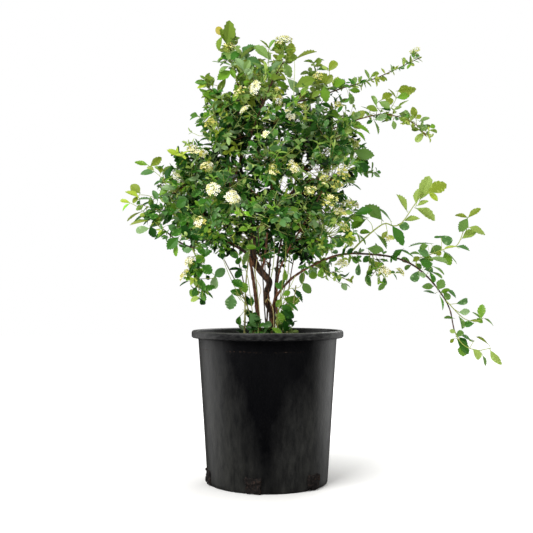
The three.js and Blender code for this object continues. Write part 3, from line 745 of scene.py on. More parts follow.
def growTwig(heaps, rng, index, start, direction, reach, leafLength, habit, tones, order, girth):
    # ends where its room does, and bears leaves from side to side, twigs of its own and a tuft at its tip
    path = twigPath(rng, start, direction, reach, habit["lift"])
    kept = 1
    while kept < len(path) and isInSpace(index, path[kept]):
        kept += 1
    if kept < 3:
        return
    path = path[:kept]
    length = pathLength(path)
    radii = np.linspace(girth, growth["twigEnd"], len(path)) * mm
    isYoung = order or rng.random() < 0.5
    colour = rng.choice(("green", "stalk")) if isYoung else rng.choice(("brown", "red"))
    addTube(heaps["twigs"], path, radii, 3 if order else 4, twigSlot[colour])
    tone = chosen(rng, tonesOf[tones])
    count = max(1, round(length / (habit["leafGap"] * leafLength)))
    side = rng.choice((-1, 1))
    for k in range(count):
        share = (k + 0.75) / (count + 0.5)
        root, way = pointOn(path, share), headingOn(path, share)
        size = leafLength * rng.uniform(0.74, 1.12) * (0.74 + 0.28 * math.sin(math.pi * (0.15 + 0.7 * share)))
        leafTone = tone if rng.random() < 0.55 else chosen(rng, tonesOf[tones])
        placeLeaf(heaps["leaves"], rng, index, root, way, side, size, chosen(rng, habit["kinds"]), leafTone)
        side = -side
        if order == 0 and rng.random() < habit["fork"]:
            left, over = across(way)
            out = turned(left, over, rng.uniform(0, 360))
            direction = turned(way, out, rng.uniform(35, 60))
            growTwig(heaps, rng, index, root, direction, reach * rng.uniform(0.35, 0.6), leafLength * 0.86,
                     habit, tones, 1, growth["forkStart"])
    tipTone = tone if rng.random() < 0.6 else chosen(rng, dict(fresh=3, light=2, olive=1, young=1, mid=2))
    growTuft(heaps["leaves"], rng, index, path[-1], headingOn(path, 1), leafLength * 0.82, habit, tipTone, 3)


def growBareStem(heaps, rng, index, leader, mass):
    # a pale stem that runs out past the leaves, with a few small leaves at its end
    start = pointOn(leader, rng.uniform(0.4, 0.95))
    turn = rng.uniform(0, 360)
    way = unit(np.array([math.cos(math.radians(turn)), math.sin(math.radians(turn)), rng.uniform(-0.1, 0.9)]))
    path = twigPath(rng, start, way, mass["spread"] * rng.uniform(0.9, 1.15), 0.03, 0.13)
    kept = [point for point in path if isInSpace(index, point)]
    if len(kept) < 4:
        return
    path = path[:len(kept)]
    colour = rng.choice(("red", "green", "stalk", "stalk"))
    addTube(heaps["twigs"], path, np.linspace(0.85, 0.5, len(path)) * mm, 3, twigSlot[colour])
    growTuft(heaps["leaves"], rng, index, path[-1], way, mass["leaf"] * 0.6, habits[mass["habit"]],
             chosen(rng, dict(fresh=2, light=3, mid=2, blue=1)), 3)


def growMass(heaps, index, name, mass, seed):
    rng, leader = random.Random(seed), mass["path"]
    foot = min(growth["leaderStart"] * mm, limbs[mass["on"]]["radii"][-1])
    radii = np.linspace(foot, growth["leaderEnd"] * mm, len(leader))
    colour = dict(dense="red", sparse="brown", spurred="red").get(mass["habit"], "green")
    addTube(heaps["twigs"], leader, radii, 6, twigSlot[colour])
    if mass["habit"] == "shown":
        return
    habit = habits[mass["habit"]]
    count = max(4, round((pathLength(leader) + 0.3 * mass["spread"]) / (habit["twigGap"] * mm)))
    side = 1
    for i in range(count):
        share = mix(growth["firstTwig"], 1, (i + 0.5) / count)
        start, forward = pointOn(leader, share), headingOn(leader, share)
        left, over = across(forward)
        out = turned(left, over, growth["golden"] * i + growth["stray"] * rng.random())
        direction = turned(forward, out, rng.uniform(*habit["lean"]))
        # painted shade: on the inner part of a dense mass's leader, deep in the crown, the leaves take the
        # dark inner tones
        tones = "inner" if mass["habit"] == "dense" and share < 0.4 else mass["tones"]
        luck = rng.random()
        if luck < habit["lone"]:
            size = mass["leaf"] * rng.uniform(0.8, 1.12)
            placeLeaf(heaps["leaves"], rng, index, start, forward, side, size, chosen(rng, habit["kinds"]),
                      chosen(rng, tonesOf[tones]))
            side = -side
        elif luck < habit["lone"] + habit["tuft"]:
            growTuft(heaps["leaves"], rng, index, start, direction, mass["leaf"], habit,
                     chosen(rng, tonesOf[tones]), rng.randint(3, 6))
        else:
            reach = mass["spread"] * rng.uniform(*habit["reach"])
            growTwig(heaps, rng, index, start, direction, reach, mass["leaf"], habit, tones, 0,
                     growth["twigStart"])
    for i in range(habit["bare"]):
        growBareStem(heaps, rng, index, leader, mass)
    if mass["habit"] != "sparse":
        growTwig(heaps, rng, index, leader[-1], headingOn(leader, 1), mass["spread"] * 0.6, mass["leaf"],
                 habit, mass["tones"], 0, growth["leaderEnd"])


# leafy spurs straight on the limbs: from and to as shares, the gap, the reach and the leaf in mm, the tones,
# and the share of nodes with no more than a tuft
# spurs deep in the crown take the inner tones, which are painted shade
spurRows = dict(
    leader=(0.1, 0.82, 5, 60, 21, "inner", 0.15),
    right_leader=(0.15, 0.98, 8, 42, 20, "top", 0.2),
    inner_bough=(0.35, 0.98, 7, 46, 20, "inner", 0.2),
    dark_cane=(0.42, 0.98, 6, 54, 20, "inner", 0.2),
    right_cane=(0.5, 0.98, 9, 40, 19, "inner", 0.2),
    left_bough=(0.2, 0.98, 8, 30, 20, "crown", 0.4),
    left_low_bough=(0.3, 0.98, 14, 22, 18, "wing", 0.5),
    back_cane=(0.45, 0.98, 9, 44, 20, "inner", 0.2),
    front_cane=(0.72, 0.98, 10, 28, 19, "crown", 0.3),
    trunk=(0.78, 0.98, 6, 46, 20, "inner", 0.2),
    arch_inner=(0.5, 0.98, 8, 24, 18, "arch", 0.5),
    arch_outer=(0.02, 0.3, 15, 18, 16, "arch", 0.8),
    top_right_bough=(0.25, 0.98, 13, 18, 16, "wing", 0.7),
    upper_right_bough=(0.2, 0.98, 12, 20, 19, "wing", 0.6),
)


def growSpurs(heaps, name, first, last, gap, reach, leaf, tones, tufts, seed):
    rng = random.Random(seed)
    path, radii = limbs[name]["path"], limbs[name]["radii"]
    count = max(2, round(pathLength(path) * (last - first) / (gap * mm)))
    for i in range(count):
        share = mix(first, last, (i + 0.5) / count)
        forward = headingOn(path, share)
        left, over = across(forward)
        out = turned(left, over, growth["golden"] * i + growth["stray"] * rng.random())
        radius = pointOn(radii[:, None], share)[0]
        start = pointOn(path, share) + out * radius * 0.5
        direction = turned(forward, out, rng.uniform(50, 80))
        if rng.random() < tufts:
            growTuft(heaps["leaves"], rng, None, start + out * radius, direction, leaf * mm,
                     habits["spurred"], chosen(rng, tonesOf[tones]), rng.randint(3, 6))
        else:
            growTwig(heaps, rng, None, start, direction, reach * rng.uniform(0.5, 1.2) * mm, leaf * mm,
                     habits["dense"], tones, 1, growth["sideStart"])


print("foliage")
# the regions of the crown, each with its own piece of leaves
regions = dict(
    Top=("top_",),
    Upper=("upper_",),
    MiddleFront=("mid_left", "mid_front", "mid_right", "low_front", "low_right"),
    MiddleBack=("mid_back", "low_back", "low_side"),
    Left=("left_", "foot_"),
    Arch=("arch_",),
)
regionLeaves = {region: Heap() for region in regions}
twigHeap, blossomHeap = Heap(), Heap()


def regionOf(name):
    return next(region for region, starts in regions.items() if name.startswith(starts))


for index, name in enumerate(massNames):
    heaps = dict(leaves=regionLeaves[regionOf(name)], twigs=twigHeap)
    growMass(heaps, index, name, masses[name], 100 + index)

spurRegions = dict(
    arch_inner="Arch", arch_outer="Arch", left_bough="Left", left_low_bough="Left", trunk="Left",
    leader="Top", right_leader="Top", top_right_bough="Top", upper_right_bough="Upper",
    back_cane="MiddleBack",
)
for seed, (name, row) in enumerate(spurRows.items()):
    heaps = dict(leaves=regionLeaves[spurRegions.get(name, "MiddleFront")], twigs=twigHeap)
    growSpurs(heaps, name, *row, 300 + seed)


# --- blossom: domed heads of small five-petalled flowers ---
def makeFloret(petals, cup, eye):
    # petals round an eye; slots: 0 petal, 1 eye, 2 stalk
    points, faces, slots = [], [], []
    outline = [(0.12, 0), (0.5, 0.25), (0.84, 0.27), (1, 0), (0.84, -0.27), (0.5, -0.25)]
    for p in range(petals):
        turn = 2 * math.pi * p / 5
        first = len(points)
        for under in (0, 1):
            for out, aside in outline:
                z = cup * out ** 1.5 + 0.25 * abs(aside) - under * 0.05 * (1 - abs(aside) * 3.6)
                points.append((out * math.cos(turn) - aside * math.sin(turn),
                               out * math.sin(turn) + aside * math.cos(turn), z))
        for a, flip in ((first, -1), (first + len(outline), 1)):
            faces += [(a, a + 5, a + 4, a + 3)[::flip], (a, a + 3, a + 2, a + 1)[::flip]]
            slots += [0, 0]
    # the eye: a low dome, and a cone under it down to the stalk
    first = len(points)
    sides = 6
    for radius, z in ((0.1, -0.5), (eye, -0.05), (eye * 0.75, 0.2)):
        for k in range(sides):
            turn = 2 * math.pi * k / sides
            points.append((radius * math.cos(turn), radius * math.sin(turn), z))
    points.append((0, 0, 0.3))
    for ring in (0, 1):
        for k in range(sides):
            a, b = first + ring * sides + k, first + ring * sides + (k + 1) % sides
            faces.append((a, b, b + sides, a + sides))
            slots.append(2 if ring == 0 else 1)
    for k in range(sides):
        faces.append((first + 2 * sides + k, first + 2 * sides + (k + 1) % sides, first + 3 * sides))
        slots.append(1)
    faces.append(tuple(first + k for k in range(sides))[::-1])
    slots.append(2)
    return dict(points=np.array(points), shape=shapeOf(faces), slots=slots)


florets = dict(
    open=makeFloret(5, 0.16, 0.26),
    loose=makeFloret(3, 0.05, 0.3),
    spent=makeFloret(0, 0, 0.55),
    bud=makeFloret(0, 0, 0.62),
)
# for each state of a head: how many of its flowers are of each kind, and what they are painted with
headStates = dict(
    open=dict(kinds=dict(open=8, loose=1.2, bud=0.8), petal=("petalWhite", "petalWhite", "petalCream"),
              eye=("flowerEye",)),
    fading=dict(kinds=dict(open=4, loose=3, spent=3), petal=("petalCream", "petalWhite", "petalFaded"),
                eye=("flowerEye", "flowerEyeSpent")),
    spent=dict(kinds=dict(open=0.4, loose=3, spent=8), petal=("petalFaded", "petalFaded", "petalCream"),
               eye=("flowerEyeSpent", "flowerEye", "budGreen", "flowerEye")),
)
blossomSlot = {material.name: k for k, material in enumerate(blossomMaterials)}
head = dict(radius=11, flowers=34, spread=74, floret=3.8, stalk=0.24, leaf=24)


def addHead(rng, hub, way, state, size):
    facts = headStates[state]
    left, over = across(way)
    count = round(head["flowers"] * rng.uniform(0.85, 1.15) * size)
    for k in range(count):
        lean = head["spread"] * math.sqrt((k + 0.5) / count) * rng.uniform(0.8, 1.12)
        ray = turned(way, turned(left, over, growth["golden"] * k), lean)
        reach = head["radius"] * size * mm * (1.02 + 0.16 * math.sin(math.radians(lean)))
        reach *= rng.uniform(0.8, 1.14)
        foot = hub + ray * reach
        kind = chosen(rng, facts["kinds"])
        floret = florets[kind]
        scale = head["floret"] * mm * rng.uniform(0.85, 1.1) * (0.42 if kind in ("spent", "bud") else 1)
        face = unit(ray * 0.55 + way * 0.45 + strayed(rng, 0.16))
        turn = np.stack([*across(face), face])
        petal = blossomSlot[rng.choice(facts["petal"])]
        eye = blossomSlot["budGreen" if kind == "bud" else rng.choice(facts["eye"])]
        paint = {0: petal, 1: eye, 2: blossomSlot["flowerStalk"]}
        slots = np.array([paint[s] for s in floret["slots"]])
        blossomHeap.add(foot + floret["points"] * scale @ turn, floret["shape"], slots)
        bend = mix(hub, foot, 0.5) + way * reach * 0.06
        stalk = np.array([hub, bend, foot - face * scale * 0.4])
        addTube(blossomHeap, stalk, [head["stalk"] * mm] * 3, 3, blossomSlot["flowerStalk"])


# heads that stand out: the mass whose leader bears each, its place in mm, its state and its size
headRows = [
    ("top_mid", (34, -30, 874), "open", 1.35), ("top_mid", (22, -26, 866), "fading", 0.8),
    ("top_left", (-76, -16, 864), "spent", 0.95), ("top_front", (-30, -60, 790), "spent", 0.95),
    ("top_front", (-27, -98, 760), "open", 1.1), ("top_front", (-58, -94, 752), "spent", 1.15),
    ("top_front", (20, -108, 748), "spent", 0.9), ("top_front", (27, -112, 730), "fading", 1.05),
    ("upper_front", (-44, -118, 714), "open", 0.9), ("upper_front", (42, -128, 703), "open", 0.95),
    ("upper_front", (66, -130, 716), "spent", 0.9), ("upper_front", (-5, -176, 655), "fading", 0.5),
    ("upper_right", (100, -30, 800), "spent", 0.9), ("upper_right", (140, -28, 742), "spent", 0.8),
    ("upper_side_right", (172, -44, 662), "fading", 0.95),
    ("upper_side_left", (-106, -124, 688), "spent", 0.9),
    ("mid_left", (-144, -50, 652), "fading", 1.1), ("mid_left", (-126, -66, 642), "fading", 0.9),
    ("mid_left", (-114, -78, 614), "fading", 1.0), ("mid_front_left", (-99, -166, 560), "open", 1.05),
    ("mid_front_left", (-62, -176, 543), "open", 1.15), ("mid_front", (48, -182, 597), "fading", 1.0),
    ("mid_front", (10, -180, 591), "spent", 0.8),
    ("mid_front_right", (74, -168, 556), "spent", 0.9), ("mid_front_right", (102, -168, 576), "spent", 0.8),
    ("mid_front_right", (141, -146, 592), "spent", 1.2), ("mid_front_right", (113, -162, 539), "spent", 1.2),
    ("mid_front_right", (126, -152, 566), "spent", 1.0), ("low_right", (152, -108, 540), "spent", 1.0),
    ("low_right", (134, -128, 522), "fading", 1.1), ("low_right", (141, -122, 496), "spent", 1.1),
    ("left_wing", (-175, -30, 600), "open", 0.95), ("left_droop", (-163, -50, 408), "fading", 0.95),
    ("left_droop", (-154, -46, 434), "fading", 0.8), ("left_front", (-124, -160, 500), "fading", 0.9),
    ("arch_shoot", (236, -20, 476), "spent", 0.45), ("arch_under", (228, -46, 416), "fading", 1.0),
    ("arch_under", (262, -30, 414), "fading", 0.7), ("arch_skirt", (144, -56, 430), "open", 0.95),
    ("top_right", (296, 4, 860), "spent", 1.0), ("top_back", (-20, 120, 846), "fading", 1.0),
    ("top_back", (16, 108, 812), "open", 1.0), ("upper_back", (-80, 156, 776), "spent", 1.0),
    ("upper_back", (-50, 160, 742), "open", 1.0), ("upper_back_right", (170, 128, 742), "fading", 1.0),
    ("mid_back", (14, 192, 690), "open", 1.1), ("mid_back", (-28, 186, 660), "fading", 1.0),
    ("mid_back_left", (-150, 154, 640), "fading", 1.0), ("mid_back_left", (-112, 170, 600), "open", 1.0),
    ("mid_back_right", (150, 176, 624), "spent", 1.0), ("mid_back_right", (120, 184, 590), "fading", 1.0),
    ("left_back", (-202, 124, 588), "fading", 0.95), ("low_back", (-60, 186, 530), "fading", 0.9),
    ("low_back_right", (110, 188, 548), "open", 0.9), ("low_side_right", (176, 20, 552), "fading", 0.9),
]


def nearestOf(points, place):
    return int(np.argmin(np.linalg.norm(points - place, axis=1)))


def stemTo(name, tip, girths, colour):
    # a side stem from the mass's leader, a little below the nearest point, up to the tip
    leader = masses[name]["path"]
    start = leader[max(0, nearestOf(leader, tip) - 2)]
    middle = mix(start, tip, 0.55) - up * 0.06 * np.linalg.norm(tip - start)
    stem = smoothPath([start, middle, tip], stretches["leaderStep"] * mm)
    addTube(twigHeap, stem, np.linspace(*girths, len(stem)) * mm, 5, twigSlot[colour])
    return stem


def growHead(rng, name, place, state, size):
    mass, top = masses[name], np.array(place) * mm
    nearest = mass["path"][nearestOf(mass["path"], top)]
    way = unit(unit(top - nearest) * 0.55 + up * 0.45)
    hub = top - way * head["radius"] * size * 0.8 * mm
    stem = stemTo(name, hub, (0.8, 0.45), "stalk")
    addHead(rng, hub, way, state, size)
    leaves = regionLeaves[regionOf(name)]
    for k, share in enumerate((0.5, 0.75) if mass["habit"] == "shown" else (0.35, 0.5, 0.62, 0.74, 0.85)):
        tone = chosen(rng, tonesOf[mass["tones"]])
        length = min(mass["leaf"], head["leaf"] * mm) * rng.uniform(0.6, 0.9)
        placeLeaf(leaves, rng, None, pointOn(stem, share), headingOn(stem, share), 1 if k % 2 else -1, length,
                  "notched", tone)


print("blossom")
headRandom = random.Random(77)
for row in headRows:
    growHead(headRandom, *row)

# --- sprigs of large leaves that stand out at the edge: mass, tip in mm, leaf in mm, leaves, tone ---
sprigRows = [
    ("top_left", (-48, -14, 850), 30, 3, "blue"), ("top_mid", (-14, -20, 824), 30, 4, "blue"),
    ("top_front", (-46, -80, 796), 28, 4, "silver"), ("top_front", (10, -100, 790), 28, 4, "blue"),
    ("upper_left", (-106, -30, 754), 28, 4, "fresh"), ("upper_left", (-104, -40, 722), 34, 3, "fresh"),
    ("upper_right", (132, -10, 784), 30, 4, "fresh"), ("upper_right", (150, 0, 752), 28, 3, "mid"),
    ("mid_front_left", (-42, -172, 514), 20, 4, "lime"), ("mid_front", (-30, -184, 600), 21, 4, "blue"),
    ("mid_front", (60, -176, 640), 21, 4, "soft"), ("mid_front", (0, -190, 570), 21, 5, "mid"),
    ("mid_front_left", (-110, -160, 540), 21, 5, "mid"), ("mid_front_left", (-80, -168, 590), 21, 4, "blue"),
    ("low_front", (-10, -196, 520), 21, 5, "soft"), ("low_front", (24, -200, 500), 21, 5, "blue"),
    ("low_front", (-36, -170, 486), 21, 4, "fresh"), ("mid_front_right", (90, -166, 640), 21, 5, "fresh"),
    ("mid_front_right", (60, -160, 590), 21, 4, "soft"), ("upper_front", (0, -170, 700), 21, 4, "blue"),
    ("upper_front", (70, -150, 740), 21, 4, "fresh"), ("upper_side_left", (-130, -120, 700), 21, 4, "mid"),
    ("upper_side_left", (-70, -134, 660), 21, 4, "soft"), ("left_front", (-140, -160, 508), 21, 5, "mid"),
    ("left_front", (-90, -166, 500), 21, 4, "blue"), ("mid_front", (20, -190, 620), 21, 4, "fresh"),
    ("mid_front_right", (160, -120, 610), 21, 4, "mid"), ("low_front", (50, -190, 512), 21, 4, "blue"),
    ("low_side_right", (64, 8, 448), 25, 4, "mid"), ("low_side_right", (92, 10, 456), 25, 4, "blue"),
    ("low_side_right", (36, 6, 456), 22, 3, "deep"), ("low_right", (110, -50, 462), 25, 4, "fresh"),
    ("low_right", (166, -96, 520), 32, 4, "mid"), ("mid_left", (-176, -30, 640), 24, 4, "young"),
    ("top_back", (-50, 130, 826), 32, 4, "olive"), ("top_back", (10, 118, 850), 30, 4, "fresh"),
    ("upper_back", (-110, 150, 800), 30, 4, "fresh"), ("upper_back_right", (186, 110, 740), 30, 4, "olive"),
    ("mid_back_left", (-176, 150, 640), 30, 4, "light"), ("mid_back_right", (176, 160, 640), 30, 4, "fresh"),
    ("left_back", (-214, 110, 580), 28, 5, "light"), ("mid_back", (40, 200, 690), 28, 4, "fresh"),
    ("low_back", (-90, 186, 540), 26, 4, "mid"), ("low_back_right", (120, 186, 530), 26, 4, "mid"),
]


def growSprig(rng, name, tip, leaf, count, tone):
    stem = stemTo(name, np.array(tip) * mm, (0.85, 0.5), "green")
    leaves, side = regionLeaves[regionOf(name)], rng.choice((-1, 1))
    toward = front * 0.5 if tip[1] < 60 else -front * 0.5
    kinds = ("notched", "pointed", "blunt") if leaf < 24 else ("toothed", "notched")
    for k in range(count):
        share = mix(0.5, 0.96, k / max(1, count - 1))
        size = leaf * rng.uniform(0.72, 0.98) * mm
        leafTone = tone if rng.random() < 0.6 else chosen(rng, tonesOf[masses[name]["tones"]])
        placeLeaf(leaves, rng, None, pointOn(stem, share), headingOn(stem, share), side, size,
                  rng.choice(kinds), leafTone, toward)
        side = -side
    placeLeaf(leaves, rng, None, stem[-1], headingOn(stem, 1), 0.2, leaf * mm, kinds[0], tone, toward)


print("sprigs")
sprigRandom = random.Random(19)
for row in sprigRows:
    growSprig(sprigRandom, *row)

# --- leaves that show one by one: the mass, its depth in mm, side stems, and the leaves as where each starts
# and where its tip is, how wide it shows, and its tone; all as places in the camera's view, 533 wide ---
shownRows = [
    ("arch_shoot", -14, [[(373, 230), (372, 225), (367, 219)], [(382, 226), (382, 220)],
                         [(392, 226), (391, 221)]], [
        (367, 218, 350, 216, 8, "calm"), (366, 220, 352, 227, 7, "fresh"), (363, 219, 357, 214, 6, "mid"),
        (370, 233, 361, 232, 5, "fresh"), (360, 236, 366, 244, 4, "calm"), (356, 232, 361, 243, 4, "fresh"),
        (382, 220, 368, 206, 9, "calm"), (391, 221, 381, 209, 3, "blue"), (393, 227, 404, 243, 10, "mid"),
        (399, 225, 409, 228, 8, "blue"), (405, 221, 419, 218, 5, "light"), (407, 211, 398, 196, 9, "light"),
        (417, 209, 435, 218, 9, "light"), (418, 206, 428, 201, 7, "light"), (417, 204, 419, 189, 8, "light"),
        (421, 199, 430, 178, 10, "light"), (423, 198, 428, 189, 6, "silver"),
        (429, 192, 446, 184, 11, "olive"), (430, 193, 438, 200, 5, "young"), (377, 235, 386, 248, 5, "calm"),
    ]),
    ("arch_far_shoot", 8, [[(442, 250), (442, 240)], [(456, 247), (460, 249)]], [
        (468, 219, 461, 231, 9, "calm"), (468, 218, 457, 215, 5, "olive"), (469, 218, 480, 209, 6, "olive"),
        (470, 228, 486, 232, 10, "light"), (463, 239, 476, 232, 7, "light"), (457, 247, 469, 251, 6, "blue"),
        (456, 247, 446, 248, 4, "young"), (441, 237, 451, 243, 11, "blue"), (442, 238, 436, 237, 2, "mid"),
        (444, 252, 458, 260, 8, "calm"), (445, 253, 450, 265, 8, "fresh"), (431, 253, 441, 248, 8, "calm"),
        (431, 244, 411, 243, 5, "mid"), (428, 246, 420, 249, 6, "calm"), (429, 256, 420, 251, 6, "blue"),
        (437, 256, 441, 252, 5, "olive"), (430, 259, 447, 260, 3, "calm"), (424, 258, 433, 260, 6, "fresh"),
        (414, 258, 403, 250, 4, "mid"), (420, 255, 411, 253, 3, "calm"), (416, 264, 421, 269, 5, "calm"),
        (421, 262, 431, 266, 7, "mid"), (424, 268, 432, 264, 6, "silver"), (419, 261, 427, 260, 5, "blue"),
        (410, 263, 403, 259, 6, "calm"), (411, 266, 405, 269, 5, "calm"), (425, 270, 433, 270, 5, "blue"),
        (419, 272, 413, 281, 8, "blue"), (419, 273, 425, 277, 4, "silver"), (430, 273, 434, 282, 4, "mid"),
        (433, 267, 444, 273, 3, "calm"), (432, 273, 442, 277, 3, "calm"), (413, 262, 419, 258, 5, "olive"),
    ]),
    ("arch_side", 12, [[(450, 305), (457, 304)], [(453, 309), (459, 313)]], [
        (433, 287, 424, 287, 5, "calm"), (435, 294, 425, 291, 4, "mid"), (438, 290, 443, 281, 9, "calm"),
        (446, 290, 456, 297, 4, "blue"), (441, 293, 449, 290, 4, "fresh"), (444, 293, 449, 299, 5, "calm"),
        (440, 297, 444, 309, 4, "mid"), (457, 304, 467, 301, 5, "blue"), (459, 313, 469, 312, 6, "silver"),
        (454, 319, 445, 318, 4, "calm"), (459, 318, 464, 328, 4, "calm"), (473, 324, 465, 325, 6, "mid"),
        (481, 319, 482, 306, 6, "fresh"), (480, 319, 473, 313, 3, "calm"), (484, 319, 494, 324, 4, "fresh"),
        (480, 322, 471, 321, 4, "olive"), (477, 319, 482, 323, 4, "fresh"),
    ]),
    ("arch_tip", 20, [[(470, 347), (474, 341)]], [
        (456, 337, 462, 332, 5, "calm"), (470, 340, 462, 336, 6, "blue"), (457, 340, 468, 353, 9, "mid"),
        (463, 344, 463, 356, 10, "fresh"), (454, 339, 450, 343, 3, "olive"), (455, 333, 450, 331, 4, "light"),
        (473, 350, 480, 358, 7, "light"), (482, 356, 486, 365, 3, "calm"), (488, 345, 478, 337, 5, "olive"),
        (490, 351, 499, 365, 7, "light"), (468, 340, 474, 342, 2, "calm"), (459, 338, 466, 345, 6, "mid"),
    ]),
    ("arch_under", -22, [[(358, 258), (359, 265)], [(370, 257), (369, 268)], [(384, 270), (386, 282)]], [
        (368, 249, 382, 251, 7, "calm"), (403, 250, 393, 257, 7, "mid"), (359, 265, 358, 275, 5, "blue"),
        (367, 275, 370, 286, 6, "calm"), (373, 270, 367, 274, 4, "fresh"), (386, 284, 379, 290, 4, "calm"),
        (370, 257, 364, 262, 6, "mid"), (369, 258, 374, 266, 5, "calm"), (375, 262, 380, 268, 5, "olive"),
        (380, 260, 388, 262, 4, "calm"), (384, 278, 385, 286, 4, "mid"), (352, 258, 361, 262, 4, "calm"),
    ]),
    ("arch_skirt", -30, [[(318, 268), (328, 276), (340, 284)], [(304, 272), (303, 283)]], [
        (312, 267, 313, 278, 7, "fresh"), (320, 266, 330, 275, 6, "calm"), (322, 268, 320, 277, 5, "fresh"),
        (336, 277, 341, 281, 4, "mid"), (342, 284, 346, 290, 5, "silver"), (343, 284, 350, 287, 3, "silver"),
        (304, 273, 301, 283, 5, "calm"), (303, 284, 310, 293, 7, "calm"), (330, 262, 336, 258, 6, "mid"),
    ]),
    ("upper_right_spray", 16, [[(390, 110), (394, 104), (397, 98), (399, 91)],
                               [(377, 114), (378, 106), (376, 101)], [(418, 126), (417, 117)],
                               [(420, 127), (424, 131), (426, 134)]], [
        (375, 120, 380, 132, 5, "soft"), (376, 119, 387, 115, 5, "silver"), (374, 113, 364, 116, 4, "moss"),
        (373, 120, 368, 123, 4, "mid"), (371, 110, 363, 105, 4, "soft"), (378, 110, 369, 106, 6, "moss"),
        (377, 105, 374, 95, 5, "soft"), (383, 99, 392, 92, 7, "olive"), (386, 97, 393, 102, 5, "olive"),
        (380, 101, 390, 107, 7, "soft"), (382, 108, 391, 109, 4, "mid"), (397, 97, 391, 88, 5, "olive"),
        (398, 97, 410, 94, 6, "fresh"), (399, 90, 416, 89, 6, "olive"), (400, 89, 408, 84, 3, "olive"),
        (399, 107, 408, 99, 6, "moss"), (395, 109, 402, 106, 4, "moss"), (401, 113, 411, 116, 8, "soft"),
        (400, 117, 410, 122, 5, "moss"), (404, 112, 409, 111, 4, "soft"), (394, 120, 396, 128, 5, "soft"),
        (391, 120, 383, 121, 3, "moss"), (386, 112, 392, 118, 5, "mid"), (354, 119, 360, 112, 6, "soft"),
        (416, 117, 414, 107, 6, "olive"), (417, 118, 422, 115, 4, "olive"), (421, 121, 430, 117, 5, "soft"),
        (420, 129, 414, 129, 4, "moss"), (425, 130, 430, 124, 5, "moss"), (426, 133, 432, 136, 4, "light"),
        (424, 133, 418, 140, 5, "light"), (431, 127, 436, 125, 5, "fresh"), (431, 130, 438, 131, 3, "moss"),
    ]),
    ("top_right", 6, [], [
        (370, 78, 366, 69, 3, "soft"), (372, 76, 379, 71, 3, "moss"), (366, 80, 372, 85, 2, "moss"),
        (393, 71, 395, 65, 3, "moss"), (360, 82, 362, 75, 3, "soft"), (355, 84, 350, 77, 3, "mid"),
        (352, 83, 357, 77, 5, "soft"), (361, 83, 366, 78, 4, "mid"), (410, 63, 405, 56, 3, "soft"),
        (411, 62, 413, 54, 3, "moss"), (412, 62, 409, 67, 3, "fresh"), (385, 75, 388, 79, 2, "moss"),
        (350, 92, 353, 102, 5, "soft"), (350, 98, 339, 101, 6, "moss"), (350, 89, 360, 90, 5, "fresh"),
        (349, 86, 359, 86, 4, "light"), (342, 89, 340, 78, 9, "fresh"), (335, 88, 338, 76, 6, "young"),
    ]),
    ("top_right", -12, [[(322, 94), (325, 86)], [(330, 91), (330, 70)]], [
        (317, 83, 327, 73, 9, "olive"), (326, 84, 332, 74, 7, "olive"), (325, 85, 326, 99, 8, "fresh"),
        (330, 69, 336, 60, 7, "olive"), (328, 69, 323, 65, 4, "light"), (313, 96, 302, 91, 5, "mid"),
        (312, 97, 320, 90, 5, "moss"),
    ]),
    ("top_left", -6, [[(236, 76), (233, 66), (229, 56), (226, 44), (227, 32)],
                      [(222, 86), (214, 84), (208, 82)]], [
        (226, 43, 230, 20, 8, "moss"), (226, 42, 223, 27, 6, "moss"), (222, 33, 216, 25, 6, "tinted"),
        (222, 34, 217, 47, 7, "moss"), (229, 58, 222, 52, 8, "mid"), (231, 58, 238, 50, 8, "mid"),
        (231, 64, 214, 58, 6, "silver"), (228, 65, 219, 70, 5, "soft"), (231, 64, 243, 55, 7, "silver"),
        (240, 61, 253, 64, 10, "olive"), (231, 70, 218, 78, 9, "fresh"), (225, 78, 219, 88, 5, "moss"),
        (236, 79, 243, 69, 6, "fresh"), (234, 77, 231, 68, 5, "fresh"), (206, 83, 197, 86, 6, "young"),
        (212, 85, 207, 74, 9, "moss"), (217, 89, 204, 99, 8, "moss"), (212, 91, 220, 100, 7, "olive"),
        (222, 95, 230, 96, 6, "soft"),
    ]),
    ("upper_left", -20, [[(222, 108), (216, 107), (211, 110)]], [
        (224, 103, 203, 117, 7, "mid"), (222, 101, 212, 103, 5, "soft"), (211, 110, 204, 119, 4, "moss"),
        (214, 108, 208, 98, 6, "moss"), (222, 112, 228, 122, 7, "soft"), (234, 100, 240, 109, 9, "mid"),
    ]),
    ("top_mid", -22, [[(270, 77), (269, 66), (268, 56), (269, 46)], [(284, 66), (287, 52), (288, 46)],
                      [(294, 92), (295, 66), (294, 58)]], [
        (257, 44, 241, 55, 6, "moss"), (268, 57, 256, 44, 7, "soft"), (269, 47, 262, 38, 3, "moss"),
        (269, 47, 273, 38, 4, "fresh"), (271, 49, 279, 46, 5, "moss"), (268, 76, 255, 61, 8, "soft"),
        (271, 58, 264, 50, 7, "soft"), (290, 55, 292, 42, 9, "olive"), (295, 58, 314, 48, 6, "olive"),
        (283, 58, 272, 67, 10, "soft"), (277, 58, 284, 53, 5, "moss"), (285, 61, 290, 75, 8, "soft"),
        (285, 62, 293, 58, 5, "moss"), (275, 76, 271, 67, 6, "soft"), (288, 78, 299, 90, 8, "silver"),
        (296, 86, 314, 77, 10, "moss"), (276, 80, 287, 86, 8, "fresh"),
    ]),
    ("upper_side_right", -38, [[(346, 162), (357, 157), (362, 160)], [(340, 182), (349, 182)],
                               [(342, 142), (350, 132), (356, 128)]], [
        (355, 151, 373, 156, 6, "calm"), (351, 148, 366, 146, 6, "mid"), (362, 160, 367, 170, 6, "deep"),
        (360, 161, 361, 172, 5, "mid"), (349, 182, 361, 188, 3, "mid"), (355, 125, 370, 131, 8, "fresh"),
        (356, 131, 366, 139, 6, "fresh"), (352, 128, 343, 134, 6, "mid"), (338, 112, 343, 106, 8, "mid"),
    ]),
